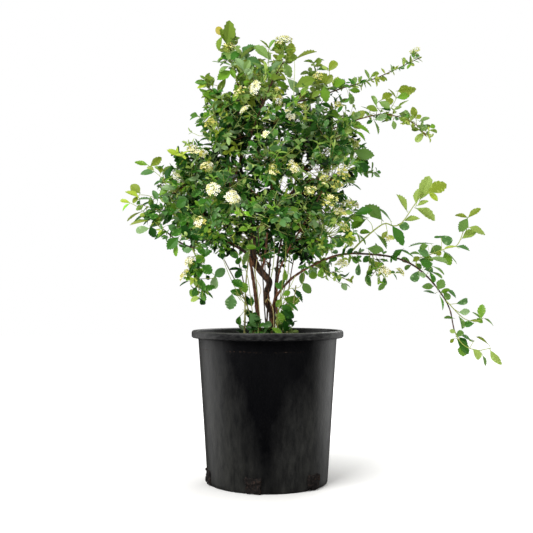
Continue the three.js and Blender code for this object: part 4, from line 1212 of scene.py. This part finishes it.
    ("low_right", -60, [[(336, 208), (344, 206), (352, 209)], [(338, 232), (346, 232)]], [
        (341, 204, 343, 191, 6, "deep"), (343, 197, 331, 195, 6, "deep"), (344, 206, 352, 209, 2, "mid"),
        (350, 230, 346, 222, 6, "mid"), (351, 244, 347, 234, 7, "mid"), (341, 236, 333, 243, 6, "blue"),
        (345, 241, 337, 247, 5, "mid"), (353, 249, 348, 254, 4, "deep"),
    ]),
    ("left_wing", -20, [[(172, 190), (165, 184), (160, 177), (153, 171)], [(166, 190), (157, 184)]], [
        (147, 165, 135, 162, 6, "fresh"), (150, 166, 160, 158, 5, "olive"), (153, 172, 141, 173, 6, "blue"),
        (153, 170, 147, 167, 5, "light"), (166, 181, 169, 167, 7, "deep"), (166, 178, 173, 179, 4, "mid"),
        (162, 181, 154, 184, 6, "blue"), (160, 173, 160, 167, 4, "olive"), (158, 196, 168, 189, 6, "fresh"),
        (175, 190, 162, 187, 5, "silver"), (175, 195, 160, 197, 5, "blue"), (180, 182, 172, 184, 5, "fresh"),
        (188, 166, 176, 162, 6, "mid"), (196, 172, 186, 168, 8, "blue"), (198, 180, 188, 184, 8, "deep"),
        (190, 190, 180, 186, 8, "deep"), (182, 184, 190, 178, 7, "mid"), (186, 200, 177, 206, 8, "mid"),
        (190, 205, 180, 210, 8, "deep"), (178, 196, 187, 203, 7, "blue"), (200, 190, 192, 196, 7, "mid"),
        (190, 176, 182, 178, 7, "deep"), (181, 175, 176, 171, 6, "olive"),
    ]),
    ("left_tip", -30, [[(157, 206), (150, 207)], [(145, 213), (137, 207), (129, 203)],
                       [(157, 200), (148, 196), (139, 195)]], [
        (139, 193, 131, 185, 8, "olive"), (138, 198, 126, 191, 3, "young"), (137, 197, 133, 203, 4, "olive"),
        (129, 203, 121, 200, 4, "young"), (129, 204, 122, 210, 4, "lime"), (153, 200, 138, 198, 5, "blue"),
        (153, 202, 141, 205, 5, "mid"), (157, 200, 153, 191, 5, "blue"), (141, 212, 127, 219, 4, "olive"),
        (148, 214, 133, 220, 5, "mid"), (156, 212, 146, 214, 5, "mid"), (150, 215, 144, 219, 5, "deep"),
        (160, 208, 150, 206, 4, "deep"), (170, 205, 165, 215, 8, "mid"), (172, 214, 166, 222, 7, "deep"),
        (166, 203, 175, 209, 6, "fresh"), (176, 214, 186, 220, 8, "mid"), (170, 218, 162, 224, 7, "mid"),
        (180, 220, 172, 226, 7, "deep"), (165, 213, 158, 222, 6, "silver"), (168, 203, 163, 197, 5, "blue"),
    ]),
    ("left_low", -36, [[(163, 228), (156, 230), (149, 229)], [(180, 241), (178, 245)]], [
        (148, 221, 131, 225, 4, "olive"), (148, 229, 137, 231, 7, "silver"), (150, 227, 154, 237, 7, "deep"),
        (167, 232, 154, 237, 5, "mid"), (178, 238, 168, 249, 10, "mid"), (177, 245, 174, 255, 4, "fresh"),
        (192, 250, 184, 251, 8, "blue"), (160, 224, 152, 223, 6, "deep"), (158, 217, 149, 216, 5, "mid"),
        (185, 232, 190, 238, 7, "deep"), (172, 236, 180, 230, 6, "mid"),
        (181, 224, 188, 236, 8, "deep"), (190, 232, 200, 240, 8, "deep"), (196, 240, 206, 234, 7, "mid"),
        (203, 238, 214, 241, 5, "deep"), (168, 226, 176, 230, 6, "blue"), (197, 250, 206, 254, 6, "mid"),
    ]),
    ("left_droop", -32, [[(215, 278), (208, 270), (200, 262)], [(199, 281), (202, 291), (203, 299)]], [
        (215, 277, 224, 270, 8, "blue"), (215, 277, 214, 288, 7, "silver"), (202, 266, 211, 273, 9, "mid"),
        (200, 260, 210, 251, 6, "mid"), (206, 276, 209, 280, 4, "deep"), (200, 293, 190, 294, 9, "fresh"),
        (199, 298, 191, 301, 5, "light"), (202, 298, 203, 305, 5, "deep"), (202, 292, 213, 296, 5, "mid"),
        (202, 289, 214, 288, 4, "mid"), (201, 280, 204, 290, 4, "mid"), (199, 270, 196, 281, 7, "deep"),
        (193, 271, 186, 277, 7, "mid"), (192, 262, 191, 271, 5, "mid"), (188, 282, 180, 286, 3, "deep"),
        (196, 256, 204, 262, 7, "fresh"), (194, 262, 199, 268, 6, "deep"),
    ]),
    ("foot_left", -44, [[(248, 308), (243, 302), (238, 294), (231, 280), (226, 268), (223, 260)],
                        [(243, 266), (241, 258), (236, 253), (229, 249)], [(244, 312), (240, 317)],
                        [(249, 262), (249, 250)]], [
        (223, 260, 222, 252, 9, "deep"), (243, 288, 233, 281, 9, "mid"), (240, 282, 246, 292, 8, "fresh"),
        (243, 294, 232, 292, 6, "mid"), (232, 295, 230, 309, 10, "blue"), (240, 317, 238, 325, 5, "mid"),
        (241, 270, 236, 278, 6, "deep"), (242, 271, 231, 269, 3, "deep"), (249, 251, 243, 264, 8, "soft"),
        (241, 258, 237, 264, 5, "mid"), (230, 249, 237, 258, 7, "mid"), (247, 269, 243, 266, 4, "deep"),
        (226, 256, 218, 256, 6, "deep"),
    ]),
    ("foot_left", -34, [[(246, 316), (247, 310)]], [
        (244, 311, 254, 318, 7, "deep"), (250, 314, 259, 327, 10, "blue"), (252, 297, 251, 306, 5, "mid"),
        (247, 297, 249, 305, 4, "deep"), (251, 320, 250, 329, 6, "deep"),
    ]),
    ("foot_right", -46, [[(274, 331), (277, 318), (280, 306), (283, 298)],
                         [(283, 298), (288, 290), (299, 288), (303, 282)],
                         [(277, 318), (282, 310)], [(280, 306), (286, 302)]], [
        (282, 306, 290, 313, 7, "mid"), (284, 311, 293, 318, 7, "deep"), (281, 311, 287, 320, 6, "mid"),
        (284, 306, 294, 309, 6, "fresh"), (279, 313, 283, 322, 6, "fresh"), (286, 317, 291, 324, 5, "deep"),
        (284, 299, 299, 303, 6, "fresh"), (288, 303, 297, 311, 3, "mid"), (293, 290, 303, 301, 8, "deep"),
        (285, 271, 285, 280, 4, "fresh"), (284, 321, 287, 331, 5, "deep"), (281, 300, 277, 307, 5, "fresh"),
        (283, 296, 290, 292, 5, "fresh"), (279, 288, 284, 281, 5, "mid"), (282, 290, 276, 284, 5, "mid"),
        (272, 329, 281, 333, 5, "fresh"), (262, 327, 271, 324, 5, "blue"), (266, 328, 262, 333, 5, "mid"),
    ]),
]
# in mm: how far a leaf strays in depth, the girths, and what counts as large; as shares: how its face strays,
# how much longer and wider than its place it is, and how wide each kind is; in degrees: how far it turns away
shown = dict(
    stray=15, tipStray=6, stalk=0.42, stem=(0.8, 0.5), large=26, facing=0.28, longer=1.1, wider=1.12,
    widened=1.5, widest=dict(toothed=0.66, notched=0.58, pointed=0.5, blunt=0.48), away=72,
)
allWood = np.concatenate([wood["path"] for wood in [*masses.values(), *limbs.values()]])


def growShownLeaf(rng, leaves, carriers, depth, leaf, colour):
    column, row, tipColumn, tipRow, wide, tone = leaf
    depth += rng.uniform(-1, 1) * shown["stray"]
    root = seenAt(column, row, depth)
    tip = seenAt(tipColumn, tipRow, depth + rng.uniform(-1, 1) * shown["tipStray"])
    nearest = carriers[nearestOf(carriers, root)]
    if np.linalg.norm(nearest - root) > 1.5 * mm:
        bend = mix(nearest, root, 0.5) + up * 0.08 * np.linalg.norm(nearest - root)
        stalk = smoothPath([nearest, bend, root], stretches["stemStep"] * mm)
        addTube(twigHeap, stalk, np.full(len(stalk), shown["stalk"] * mm), 3, twigSlot[colour])
    length, way = np.linalg.norm(tip - root) * shown["longer"], unit(tip - root)
    isLarge = length > shown["large"] * mm
    kind = rng.choice(("toothed", "notched") if isLarge else ("blunt", "pointed", "notched"))
    share = shown["wider"] * wide / math.hypot(tipColumn - column, tipRow - row) / shown["widest"][kind]
    face = squared(unit(front + up * 0.3 + strayed(rng, shown["facing"])), way)
    # a leaf that shows narrow is turned away about its rib
    away = min(math.degrees(math.acos(min(share, 1))), shown["away"])
    aside = np.cross(way, face)
    aside = aside if aside[2] > 0 or rng.random() < 0.25 else -aside
    widen = min(max(share, 1), shown["widened"])
    addLeaf(leaves, rng, root, way, turned(face, aside, away), length, kind, tone, widen)


def growShown(rng, name, depth, stems, rows):
    mass, leaves = masses[name], regionLeaves[regionOf(name)]
    colour = "stalk" if mass["tones"] in ("shoot", "top") else "green"
    carriers = allWood
    for stem in stems:
        points = [seenAt(column, row, depth) for column, row in stem]
        nearest = carriers[nearestOf(carriers, points[0])]
        path = smoothPath([nearest] + points, stretches["stemStep"] * mm)
        addTube(twigHeap, path, np.linspace(*shown["stem"], len(path)) * mm, 5, twigSlot[colour])
        carriers = np.concatenate([carriers, path])
    for row in rows:
        growShownLeaf(rng, leaves, carriers, depth, row, colour)


shownRandom = random.Random(41)
for row in shownRows:
    growShown(shownRandom, *row)

# boughs that fill the crown where two masses leave it open: mass, tip, reach and leaf in mm, tones
# fills with the inner tones are painted shade, dark leaves deep in the crown
fillRows = [
    ("mid_back", (40, 84, 672), 44, 24, "inner"), ("mid_back", (84, 96, 668), 44, 24, "crown"),
    ("upper_back_right", (70, 118, 762), 50, 26, "crown"),
    ("upper_back_right", (60, 150, 716), 46, 24, "crown"),
    ("mid_back_left", (-110, 66, 684), 46, 24, "crown"), ("mid_back_left", (-124, 56, 566), 46, 24, "crown"),
    ("mid_back_left", (-96, 60, 632), 44, 24, "inner"), ("low_back_right", (60, 96, 560), 44, 24, "inner"),
    ("upper_side_right", (92, -60, 700), 40, 24, "crown"), ("low_right", (60, -84, 560), 40, 24, "crown"),
    ("left_wing", (-160, -22, 586), 32, 21, "wing"), ("mid_left", (-150, -30, 600), 34, 22, "wing"),
]


def growFill(seed, name, tip, reach, leaf, tones):
    rng = random.Random(seed)
    heaps = dict(leaves=regionLeaves[regionOf(name)], twigs=twigHeap)
    stem = stemTo(name, np.array(tip) * mm, (1.1, 0.6), "red")
    for k in range(10):
        share = mix(0.3, 0.97, k / 9)
        forward = headingOn(stem, share)
        left, over = across(forward)
        direction = turned(forward, turned(left, over, growth["golden"] * k), rng.uniform(45, 75))
        growTwig(heaps, rng, None, pointOn(stem, share), direction, reach * rng.uniform(0.5, 1) * mm,
                 leaf * mm, habits["dense"], tones, 1, growth["sideStart"])


for seed, row in enumerate(fillRows):
    growFill(500 + seed, *row)


def wallRadius(height):
    return mix(pot["heel"], pot["shoulder"], height / (pot["height"] - pot["rimHeight"]))


def soilHeight(x, y):
    off = math.hypot(x, y)
    edge = wallRadius(soil["edge"]) * mm
    share = min(max((off - soil["flat"] * mm) / (edge - soil["flat"] * mm), 0), 1)
    return mix(soil["top"], soil["edge"], share) * mm - 2.2 * mm


# --- at the foot: leafy suckers from the soil, and thin bare whips among the stems ---
# where on the soil, how tall, how long a leaf, and the tones
suckerRows = [
    (-22, -34, 44, 20, "crown"), (-16, -38, 30, 18, "crown"), (-26, -24, 30, 18, "crown"),
    (-6, -42, 16, 17, "wing"), (6, -38, 16, 17, "wing"), (18, -36, 16, 17, "wing"), (26, -32, 40, 21, "arch"),
    (28, -26, 62, 20, "arch"), (30, -30, 24, 18, "wing"), (-18, 42, 32, 22, "crown"),
    (24, 46, 36, 22, "crown"), (44, 18, 28, 20, "crown"), (-44, 22, 28, 20, "crown"),
    (4, 50, 22, 18, "crown"),
]
# foot, the points it runs through, its girths and its colour
whipRows = [
    ((-22, -30, 274), [(-35, -36, 376), (-40, -38, 408), (-52, -44, 440)], (0.9, 0.6), "green"),
    ((-10, -30, 274), [(-17, -33, 352), (-13, -31, 378), (-23, -34, 402), (-21, -40, 436)], (0.8, 0.5),
     "straw"),
    ((12, -24, 274), [(12, -27, 322), (9, -29, 345), (0, -30, 360), (-4, -27, 352)], (1.2, 0.8), "straw"),
    ((16, -30, 274), [(24, -36, 352), (34, -44, 430), (36, -50, 470)], (1.1, 0.8), "green"),
    ((20, -24, 274), [(31, -32, 350), (54, -40, 404)], (1.0, 0.6), "stalk"),
    ((18, -14, 274), [(22, -18, 340), (38, -22, 396), (44, -20, 450)], (1.1, 0.8), "green"),
    ((-4, 4, 404), [(-5, 6, 428), (-3, 8, 476)], (1.1, 0.8), "red"),
    ((4, 8, 388), [(12, 10, 430), (14, 12, 480)], (1.0, 0.7), "stalk"),
    ((-14, 38, 274), [(-24, 58, 400), (-40, 80, 480)], (1.4, 0.9), "green"),
    ((30, 34, 274), [(50, 58, 420), (70, 80, 490)], (1.4, 0.9), "red"),
    ((-30, 16, 274), [(-50, 30, 400), (-74, 44, 476)], (1.3, 0.9), "brown"),
    ((-53, 4, 640), [(-34, -50, 668), (-22, -92, 696), (-8, -98, 728), (5, -96, 761), (18, -84, 790),
                     (31, -60, 818)], (1.7, 0.9), "brown"),
]


def growSucker(rng, x, y, height, leaf, tones):
    root = np.array([x, y, soil["top"] - soil["sunk"]]) * mm
    out = unit(np.array([x, y, 0.0]))
    tip = root + (up * (height + soil["sunk"]) + out * rng.uniform(0, 8)) * mm
    stem = smoothPath([root, mix(root, tip, 0.5) + out * 2 * mm, tip], stretches["stemStep"] * mm)
    addTube(twigHeap, stem, np.linspace(0.8, 0.5, len(stem)) * mm, 4, twigSlot["stalk"])
    leaves, side = regionLeaves["Left"], 1
    for k in range(6):
        share = mix(0.35, 0.95, k / 5)
        size = leaf * rng.uniform(0.6, 1) * mm
        placeLeaf(leaves, rng, None, pointOn(stem, share), headingOn(stem, share), side, size, "notched",
                  chosen(rng, tonesOf[tones]))
        side = -side
    tipTone = chosen(rng, tonesOf[tones])
    growTuft(leaves, rng, None, stem[-1], up, leaf * 0.8 * mm, habits["leafy"], tipTone, 3)


litter = dict(
    leaves=46, off=(14, 118), above=(2.5, 4.5), leaf=(12, 21), kinds=("notched", "pointed"),
    tones=("tinted", "olive", "deep", "mid", "mid", "young"),
)


def scatterLitter(rng):
    # fallen leaves that lie on the soil
    for k in range(litter["leaves"]):
        off, turn = rng.uniform(*litter["off"]) * mm, rng.uniform(0, 2 * math.pi)
        x, y = off * math.cos(turn), off * math.sin(turn)
        way = unit(np.array([rng.gauss(0, 1), rng.gauss(0, 1), rng.uniform(0, 0.25)]))
        face = squared(unit(np.array([rng.gauss(0, 0.25), rng.gauss(0, 0.25), 1.0])), way)
        root = np.array([x, y, soilHeight(x, y) + rng.uniform(*litter["above"]) * mm])
        length, kind = rng.uniform(*litter["leaf"]) * mm, rng.choice(litter["kinds"])
        addLeaf(regionLeaves["Left"], rng, root, way, face, length, kind, rng.choice(litter["tones"]))


footRandom = random.Random(5)
scatterLitter(random.Random(8))
for row in suckerRows:
    growSucker(footRandom, *row)
for foot, through, girths, colour in whipRows:
    whip = smoothPath(np.array([foot, *through]) * mm, stretches["stemStep"] * mm)
    addTube(twigHeap, whip, np.linspace(*girths, len(whip)) * mm, 6, twigSlot[colour])


def deselectAll():
    if bpy.context.object and bpy.context.object.mode != "OBJECT":
        bpy.ops.object.mode_set(mode="OBJECT")
    bpy.ops.object.select_all(action="DESELECT")


def finished(piece, slot, *nodes):
    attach(piece, "root")
    if nodes:
        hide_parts(*nodes)
    return piece


for region, heap in regionLeaves.items():
    nodes = [name + "_foliage" for name in massNames if regionOf(name) == region]
    finished(heap.build("leaves" + region, leafMaterials), "foliage", *nodes)
    print("leaves" + region, len(heap.points), "leaves", heap.triangles(), "triangles")
finished(twigHeap.build("twigs", twigMaterials), "bark")
finished(blossomHeap.build("blossom", blossomMaterials), None)
print("twigs", twigHeap.triangles(), "blossom", blossomHeap.triangles(), "triangles")

# --- trunk and boughs: tapering curves made into meshes, with the bark raised on them ---
print("limbs")
# swellings as shares of the girth; how long they are in girths at a collar, else in mm; and the UV tile in mm
relief = dict(
    collar=0.4, collarLength=3.2, flare=0.32, flareLength=22, knotGap=17, knot=(0.05, 0.16), knotLength=2.4,
    tile=26,
)
limbFinish = dict(
    trunk=trunkBark, leader=trunkBark, arch_outer=darkBark, pale_shoot=strawBark, thin_shoot=oliveBark,
    straw_shoot=strawBark, front_cane=darkBark, back_cane=darkBark, dark_cane=darkBark, left_bough=darkBark,
    left_low_bough=darkBark, top_right_bough=darkBark, right_leader=darkBark,
)
ridges = bpy.data.textures.new("ridges", "CLOUDS")
ridges.noise_scale = 0.22
ridges.noise_depth = 3
lumps = bpy.data.textures.new("lumps", "CLOUDS")
lumps.noise_scale = 0.016
lumps.noise_depth = 2


def displaced(piece, texture, strength, coords):
    modifier = piece.modifiers.new("relief", "DISPLACE")
    modifier.texture = texture
    modifier.texture_coords = coords
    modifier.strength = strength
    modifier.mid_level = 0.5
    bpy.context.view_layer.objects.active = piece
    bpy.ops.object.modifier_apply(modifier="relief")


def makeLimb(name, limb):
    # swells where it leaves what it grows from, and at the small knots along it
    rng = random.Random(len(name) * 31 + len(limb["path"]))
    path, radii = limb["path"], limb["radii"].copy()
    if len(path) > 8:
        fine = respaced(path, 2.2 * mm)
        radii = np.interp(np.linspace(0, 1, len(fine)), np.linspace(0, 1, len(path)), radii)
        path = fine
    gone = np.linspace(0, pathLength(path), len(path))
    if limb["on"] == "soil":
        above = np.maximum(gone - soil["sunk"] * mm, 0)
        radii = radii * (1 + relief["flare"] * np.exp(-above / (relief["flareLength"] * mm)))
    elif limbRows[name][1] != 1:
        radii = radii * (1 + relief["collar"] * np.exp(-gone / (relief["collarLength"] * radii[0])))
    for k in range(int(gone[-1] / (relief["knotGap"] * mm))):
        knot, swell = rng.uniform(0, gone[-1]), rng.uniform(*relief["knot"])
        radii = radii + radii * swell * np.exp(-((gone - knot) / (relief["knotLength"] * mm)) ** 2)
    deselectAll()
    bpy.ops.curve.primitive_nurbs_path_add()
    piece = bpy.context.object
    piece.name = name + "Bark"
    curve = piece.data
    curve.splines.clear()
    spline = curve.splines.new("POLY")
    spline.points.add(len(path) - 1)
    for point, place, radius in zip(spline.points, path, radii):
        point.co = (*place, 1)
        point.radius = radius
    curve.dimensions = "3D"
    curve.bevel_depth = 1
    curve.bevel_resolution = 9 if radii[0] > 6 * mm else 5 if radii[0] > 2.5 * mm else 3
    curve.use_fill_caps = True
    bpy.ops.object.convert(target="MESH")
    piece = bpy.context.object
    mesh = piece.data
    # the pattern is long along the limb and short round it
    uvs = np.zeros(len(mesh.loops) * 2, np.float32)
    mesh.uv_layers[0].data.foreach_get("uv", uvs)
    uvs = uvs.reshape(-1, 2) * (gone[-1] / (relief["tile"] * mm), 3.0)
    mesh.uv_layers[0].data.foreach_set("uv", uvs.ravel().astype(np.float32))
    bpy.ops.object.mode_set(mode="EDIT")
    bpy.ops.mesh.select_all(action="SELECT")
    bpy.ops.mesh.remove_doubles(threshold=0.00002)
    bpy.ops.mesh.normals_make_consistent(inside=False)
    bpy.ops.object.mode_set(mode="OBJECT")
    displaced(piece, ridges, min(1.3 * mm, radii[0] * 0.2), "UV")
    displaced(piece, lumps, min(2.6 * mm, radii[0] * 0.32), "LOCAL")
    bpy.ops.object.shade_smooth()
    mesh.materials.clear()
    mesh.materials.append(limbFinish.get(name, boughBark))
    return finished(piece, "green_shoot" if name.endswith("shoot") else "bark", name)


for name, limb in limbs.items():
    makeLimb(name, limb)

# --- pot ---
print("pot")


def turnedUp(name, profile, sides):
    # a filled circle is pulled up, out and in through the profile's radii and heights
    deselectAll()
    (radius, height), rest = profile[0], profile[1:]
    bpy.ops.mesh.primitive_circle_add(vertices=sides, radius=radius * mm, fill_type="NGON",
                                      location=(0, 0, height * mm))
    piece = bpy.context.object
    piece.name = name
    bpy.ops.object.transform_apply(location=True, rotation=True, scale=True)
    bpy.ops.object.mode_set(mode="EDIT")
    bpy.ops.mesh.select_all(action="SELECT")
    for newRadius, newHeight in rest:
        bpy.ops.mesh.extrude_region_move(TRANSFORM_OT_translate={"value": (0, 0, (newHeight - height) * mm)})
        share = newRadius / radius
        bpy.ops.transform.resize(value=(share, share, 1), center_override=(0, 0, newHeight * mm))
        radius, height = newRadius, newHeight
    bpy.ops.mesh.select_all(action="SELECT")
    bpy.ops.mesh.normals_make_consistent(inside=False)
    bpy.ops.object.mode_set(mode="OBJECT")
    return piece


def potProfile():
    # radii and heights: out over the foot, up the outside, over the rolled rim and down the inside
    height, rim, shoulder, heel = pot["height"], pot["rimRadius"], pot["shoulder"], pot["heel"]
    rimFoot = height - pot["rimHeight"]
    bore = shoulder - pot["wall"]
    lipEdge = bore + pot["lip"]
    foot = [(heel - pot["corner"], 0), (heel - 1, 0.8), (heel, pot["corner"])]
    outside = [(wallRadius(h), h) for h in np.linspace(8, rimFoot - 4, 14)]
    rimUnder = [(shoulder + 1.2, rimFoot - 0.6), (rim - 2.4, rimFoot), (rim - 0.6, rimFoot + 1.2)]
    rimFace = [(rim, rimFoot + 4), (rim, height - 4.2)]
    rimTop = [(rim - 0.7, height - 1.6), (rim - 2.4, height - 0.2), (rim - 5, height),
              (lipEdge + 2, height - 0.4), (lipEdge, height - 1.6)]
    inside = [(bore + 0.4, rimFoot + 2), (bore, rimFoot - 4)]
    inside += [(wallRadius(h) - pot["wall"], h) for h in (250, 200, 150, 100, 60, 34, pot["floor"])]
    return foot + outside + rimUnder + rimFace + rimTop + inside


def drainTurns():
    return [math.radians(pot["firstDrain"] + 360 / pot["drains"] * k) for k in range(pot["drains"])]


def blockAt(turn, off, height, size):
    # a block at a drain, so far out and so high, in mm
    deselectAll()
    place = (off * mm * math.cos(turn), off * mm * math.sin(turn), height * mm)
    bpy.ops.mesh.primitive_cube_add(size=1, location=place, rotation=(0, 0, turn))
    block = bpy.context.object
    block.scale = [side * mm for side in size]
    bpy.ops.object.transform_apply(location=True, rotation=True, scale=True)
    bpy.ops.object.mode_set(mode="EDIT")
    bpy.ops.mesh.select_all(action="SELECT")
    return block


def cutDrain(piece, turn):
    size = (26, pot["drainWidth"], pot["drainHeight"] + 12)
    block = blockAt(turn, pot["heel"] + 1, pot["drainHeight"] / 2 - 6, size)
    bpy.ops.mesh.bevel(offset=pot["drainCorner"] * mm, segments=4, affect="EDGES")
    bpy.ops.object.mode_set(mode="OBJECT")
    cut = piece.modifiers.new("drain", "BOOLEAN")
    cut.operation, cut.object, cut.solver = "DIFFERENCE", block, "EXACT"
    bpy.context.view_layer.objects.active = piece
    bpy.ops.object.modifier_apply(modifier="drain")
    bpy.data.objects.remove(block)


def makePot():
    piece = turnedUp("nurseryPot", potProfile(), pot["sides"])
    for turn in drainTurns():
        cutDrain(piece, turn)
    deselectAll()
    piece.select_set(True)
    bpy.context.view_layer.objects.active = piece
    bpy.ops.object.shade_smooth_by_angle(angle=math.radians(35))
    piece.data.materials.clear()
    piece.data.materials.append(potFinish)
    return finished(piece, "pot", "pot")


makePot()

# --- soil: a lumpy mound, and the roots and mix that bulge out of the drains ---
print("soil")
clods = bpy.data.textures.new("clods", "CLOUDS")
clods.noise_scale = 0.011
clods.noise_depth = 4
swells = bpy.data.textures.new("swells", "CLOUDS")
swells.noise_scale = 0.06


def makeSoil():
    deselectAll()
    reach, cells = (wallRadius(soil["edge"]) - 0.8) * mm, 104
    bpy.ops.mesh.primitive_grid_add(x_subdivisions=cells, y_subdivisions=cells, size=2 * reach)
    piece = bpy.context.object
    piece.name = "pottingSoil"
    bpy.ops.object.mode_set(mode="EDIT")
    bpy.ops.mesh.select_mode(type="VERT")
    bpy.ops.mesh.select_all(action="DESELECT")
    bpy.ops.object.mode_set(mode="OBJECT")
    for vertex in piece.data.vertices:
        vertex.select = vertex.co.xy.length > reach
    bpy.ops.object.mode_set(mode="EDIT")
    bpy.ops.mesh.delete(type="VERT")
    bpy.ops.mesh.select_all(action="SELECT")
    bpy.ops.mesh.delete_loose()
    bpy.ops.object.mode_set(mode="OBJECT")
    # the stepped edge is drawn out to the wall, and the whole laid to its slope
    for vertex in piece.data.vertices:
        off = vertex.co.xy.length
        if off > reach - 1.8 * reach / cells:
            vertex.co.xy *= reach / off
        vertex.co.z = soilHeight(vertex.co.x, vertex.co.y)
    displaced(piece, swells, 4 * mm, "LOCAL")
    displaced(piece, clods, 4.5 * mm, "LOCAL")
    for vertex in piece.data.vertices:
        vertex.co.z = min(vertex.co.z, soil["top"] * mm)
    # its edge goes down along the wall, and it's closed underneath
    bpy.ops.object.mode_set(mode="EDIT")
    bpy.ops.mesh.select_all(action="SELECT")
    bpy.ops.mesh.region_to_loop()
    bpy.ops.mesh.extrude_region_move(TRANSFORM_OT_translate=dict(value=(0, 0, -10 * mm)))
    bpy.ops.mesh.edge_face_add()
    bpy.ops.mesh.select_all(action="SELECT")
    bpy.ops.mesh.normals_make_consistent(inside=False)
    bpy.ops.object.mode_set(mode="OBJECT")
    bpy.ops.object.shade_smooth_by_angle(angle=math.radians(50))
    piece.data.materials.append(soilFinish)
    print("soil", len(piece.data.polygons), "faces")
    return finished(piece, "soil", "soil")


def makeDrainPlugs():
    # they hide the drains' edges here and there
    plugs, rng = [], random.Random(21)
    for turn in drainTurns():
        wide, tall = rng.uniform(1.0, 1.2), rng.uniform(0.86, 1.06)
        size = (13, pot["drainWidth"] * wide, pot["drainHeight"] * tall)
        plug = blockAt(turn, pot["heel"] - 3, pot["drainHeight"] / 2 + 1, size)
        bpy.ops.mesh.subdivide(number_cuts=18)
        bpy.ops.mesh.vertices_smooth(factor=0.5, repeat=12)
        bpy.ops.object.mode_set(mode="OBJECT")
        displaced(plug, clods, 10 * mm, "LOCAL")
        bpy.ops.object.shade_smooth()
        plugs.append(plug)
    deselectAll()
    for plug in plugs:
        plug.select_set(True)
    bpy.context.view_layer.objects.active = plugs[0]
    bpy.ops.object.join()
    piece = bpy.context.object
    piece.name = "drainSoil"
    for vertex in piece.data.vertices:
        vertex.co.z = max(vertex.co.z, 0.4 * mm)
    piece.data.materials.append(plugFinish)
    return finished(piece, "soil")


makeSoil()
makeDrainPlugs()

# --- the stage and the light ---
print("stage")
deselectAll()
bpy.ops.mesh.primitive_plane_add(size=12, location=(0, 0, 0))
floor = bpy.context.object
floor.name = "paleFloor"


def floorFinish():
    # painted light: the floor glows, not at all by the pot and more and more farther off, so that it is as
    # white as the room far off and only the soft shadow by the pot shows
    finish = plainMaterial("paleFloor", 247, 246, 244, 0.9, 0.1)
    place = node(finish, "ShaderNodeTexCoord").outputs["Object"]
    off = node(finish, "ShaderNodeVectorMath", {0: place}, operation="LENGTH").outputs["Value"]
    finish.node_tree.nodes["Principled BSDF"].inputs["Emission Color"].default_value = (1, 1, 1, 1)
    # the painted glow grows with the distance from the pot
    feed(finish, "Emission Strength", mapped(finish, off, 0.12, 0.6, 0.0, 0.8))
    return finish


floor.data.materials.append(floorFinish())
floor.visible_glossy = False

lights = dict(
    key=dict(place=(-1.3, -1.7, 2.4), aim=(0, 0, 0.5), size=(1.7, 1.7), power=84),
    fill=dict(place=(2.0, -1.5, 1.4), aim=(0, 0, 0.45), size=(1.6, 1.6), power=12),
    back=dict(place=(0.8, 1.9, 1.8), aim=(0, 0, 0.5), size=(1.4, 1.4), power=22),
    left=dict(place=(-1.9, 0.5, 0.3), aim=(0, 0, 0.15), size=(2.1, 1.6), power=11),
    right=dict(place=(1.7, 1.0, 0.3), aim=(0, 0, 0.15), size=(1.9, 1.6), power=10),
)
for name, facts in lights.items():
    bpy.ops.object.light_add(type="AREA", location=facts["place"])
    lamp = bpy.context.object
    lamp.name = name + "Light"
    lamp.data.shape = "RECTANGLE"
    lamp.data.size, lamp.data.size_y = facts["size"]
    lamp.data.energy = facts["power"]
    lamp.visible_camera = False
    lamp.rotation_euler = (Vector(facts["aim"]) - Vector(facts["place"])).to_track_quat("-Z", "Y").to_euler()

# a white room that lights less than it shows
world = bpy.data.worlds.new("studio")
bpy.context.scene.world = world
world.use_nodes = True
background = world.node_tree.nodes["Background"]
background.inputs["Color"].default_value = (1, 1, 1, 1)
ray = node(world, "ShaderNodeLightPath")
seen = mapped(world, ray.outputs["Is Camera Ray"], 0, 1, 0.4, 1)
mirrored = mapped(world, ray.outputs["Is Glossy Ray"], 0, 1, 1, 0.06)
strength = node(world, "ShaderNodeMath", {0: seen, 1: mirrored}, operation="MULTIPLY").outputs["Value"]
world.node_tree.links.new(strength, background.inputs["Strength"])
bpy.context.scene.view_settings.view_transform = "Standard"
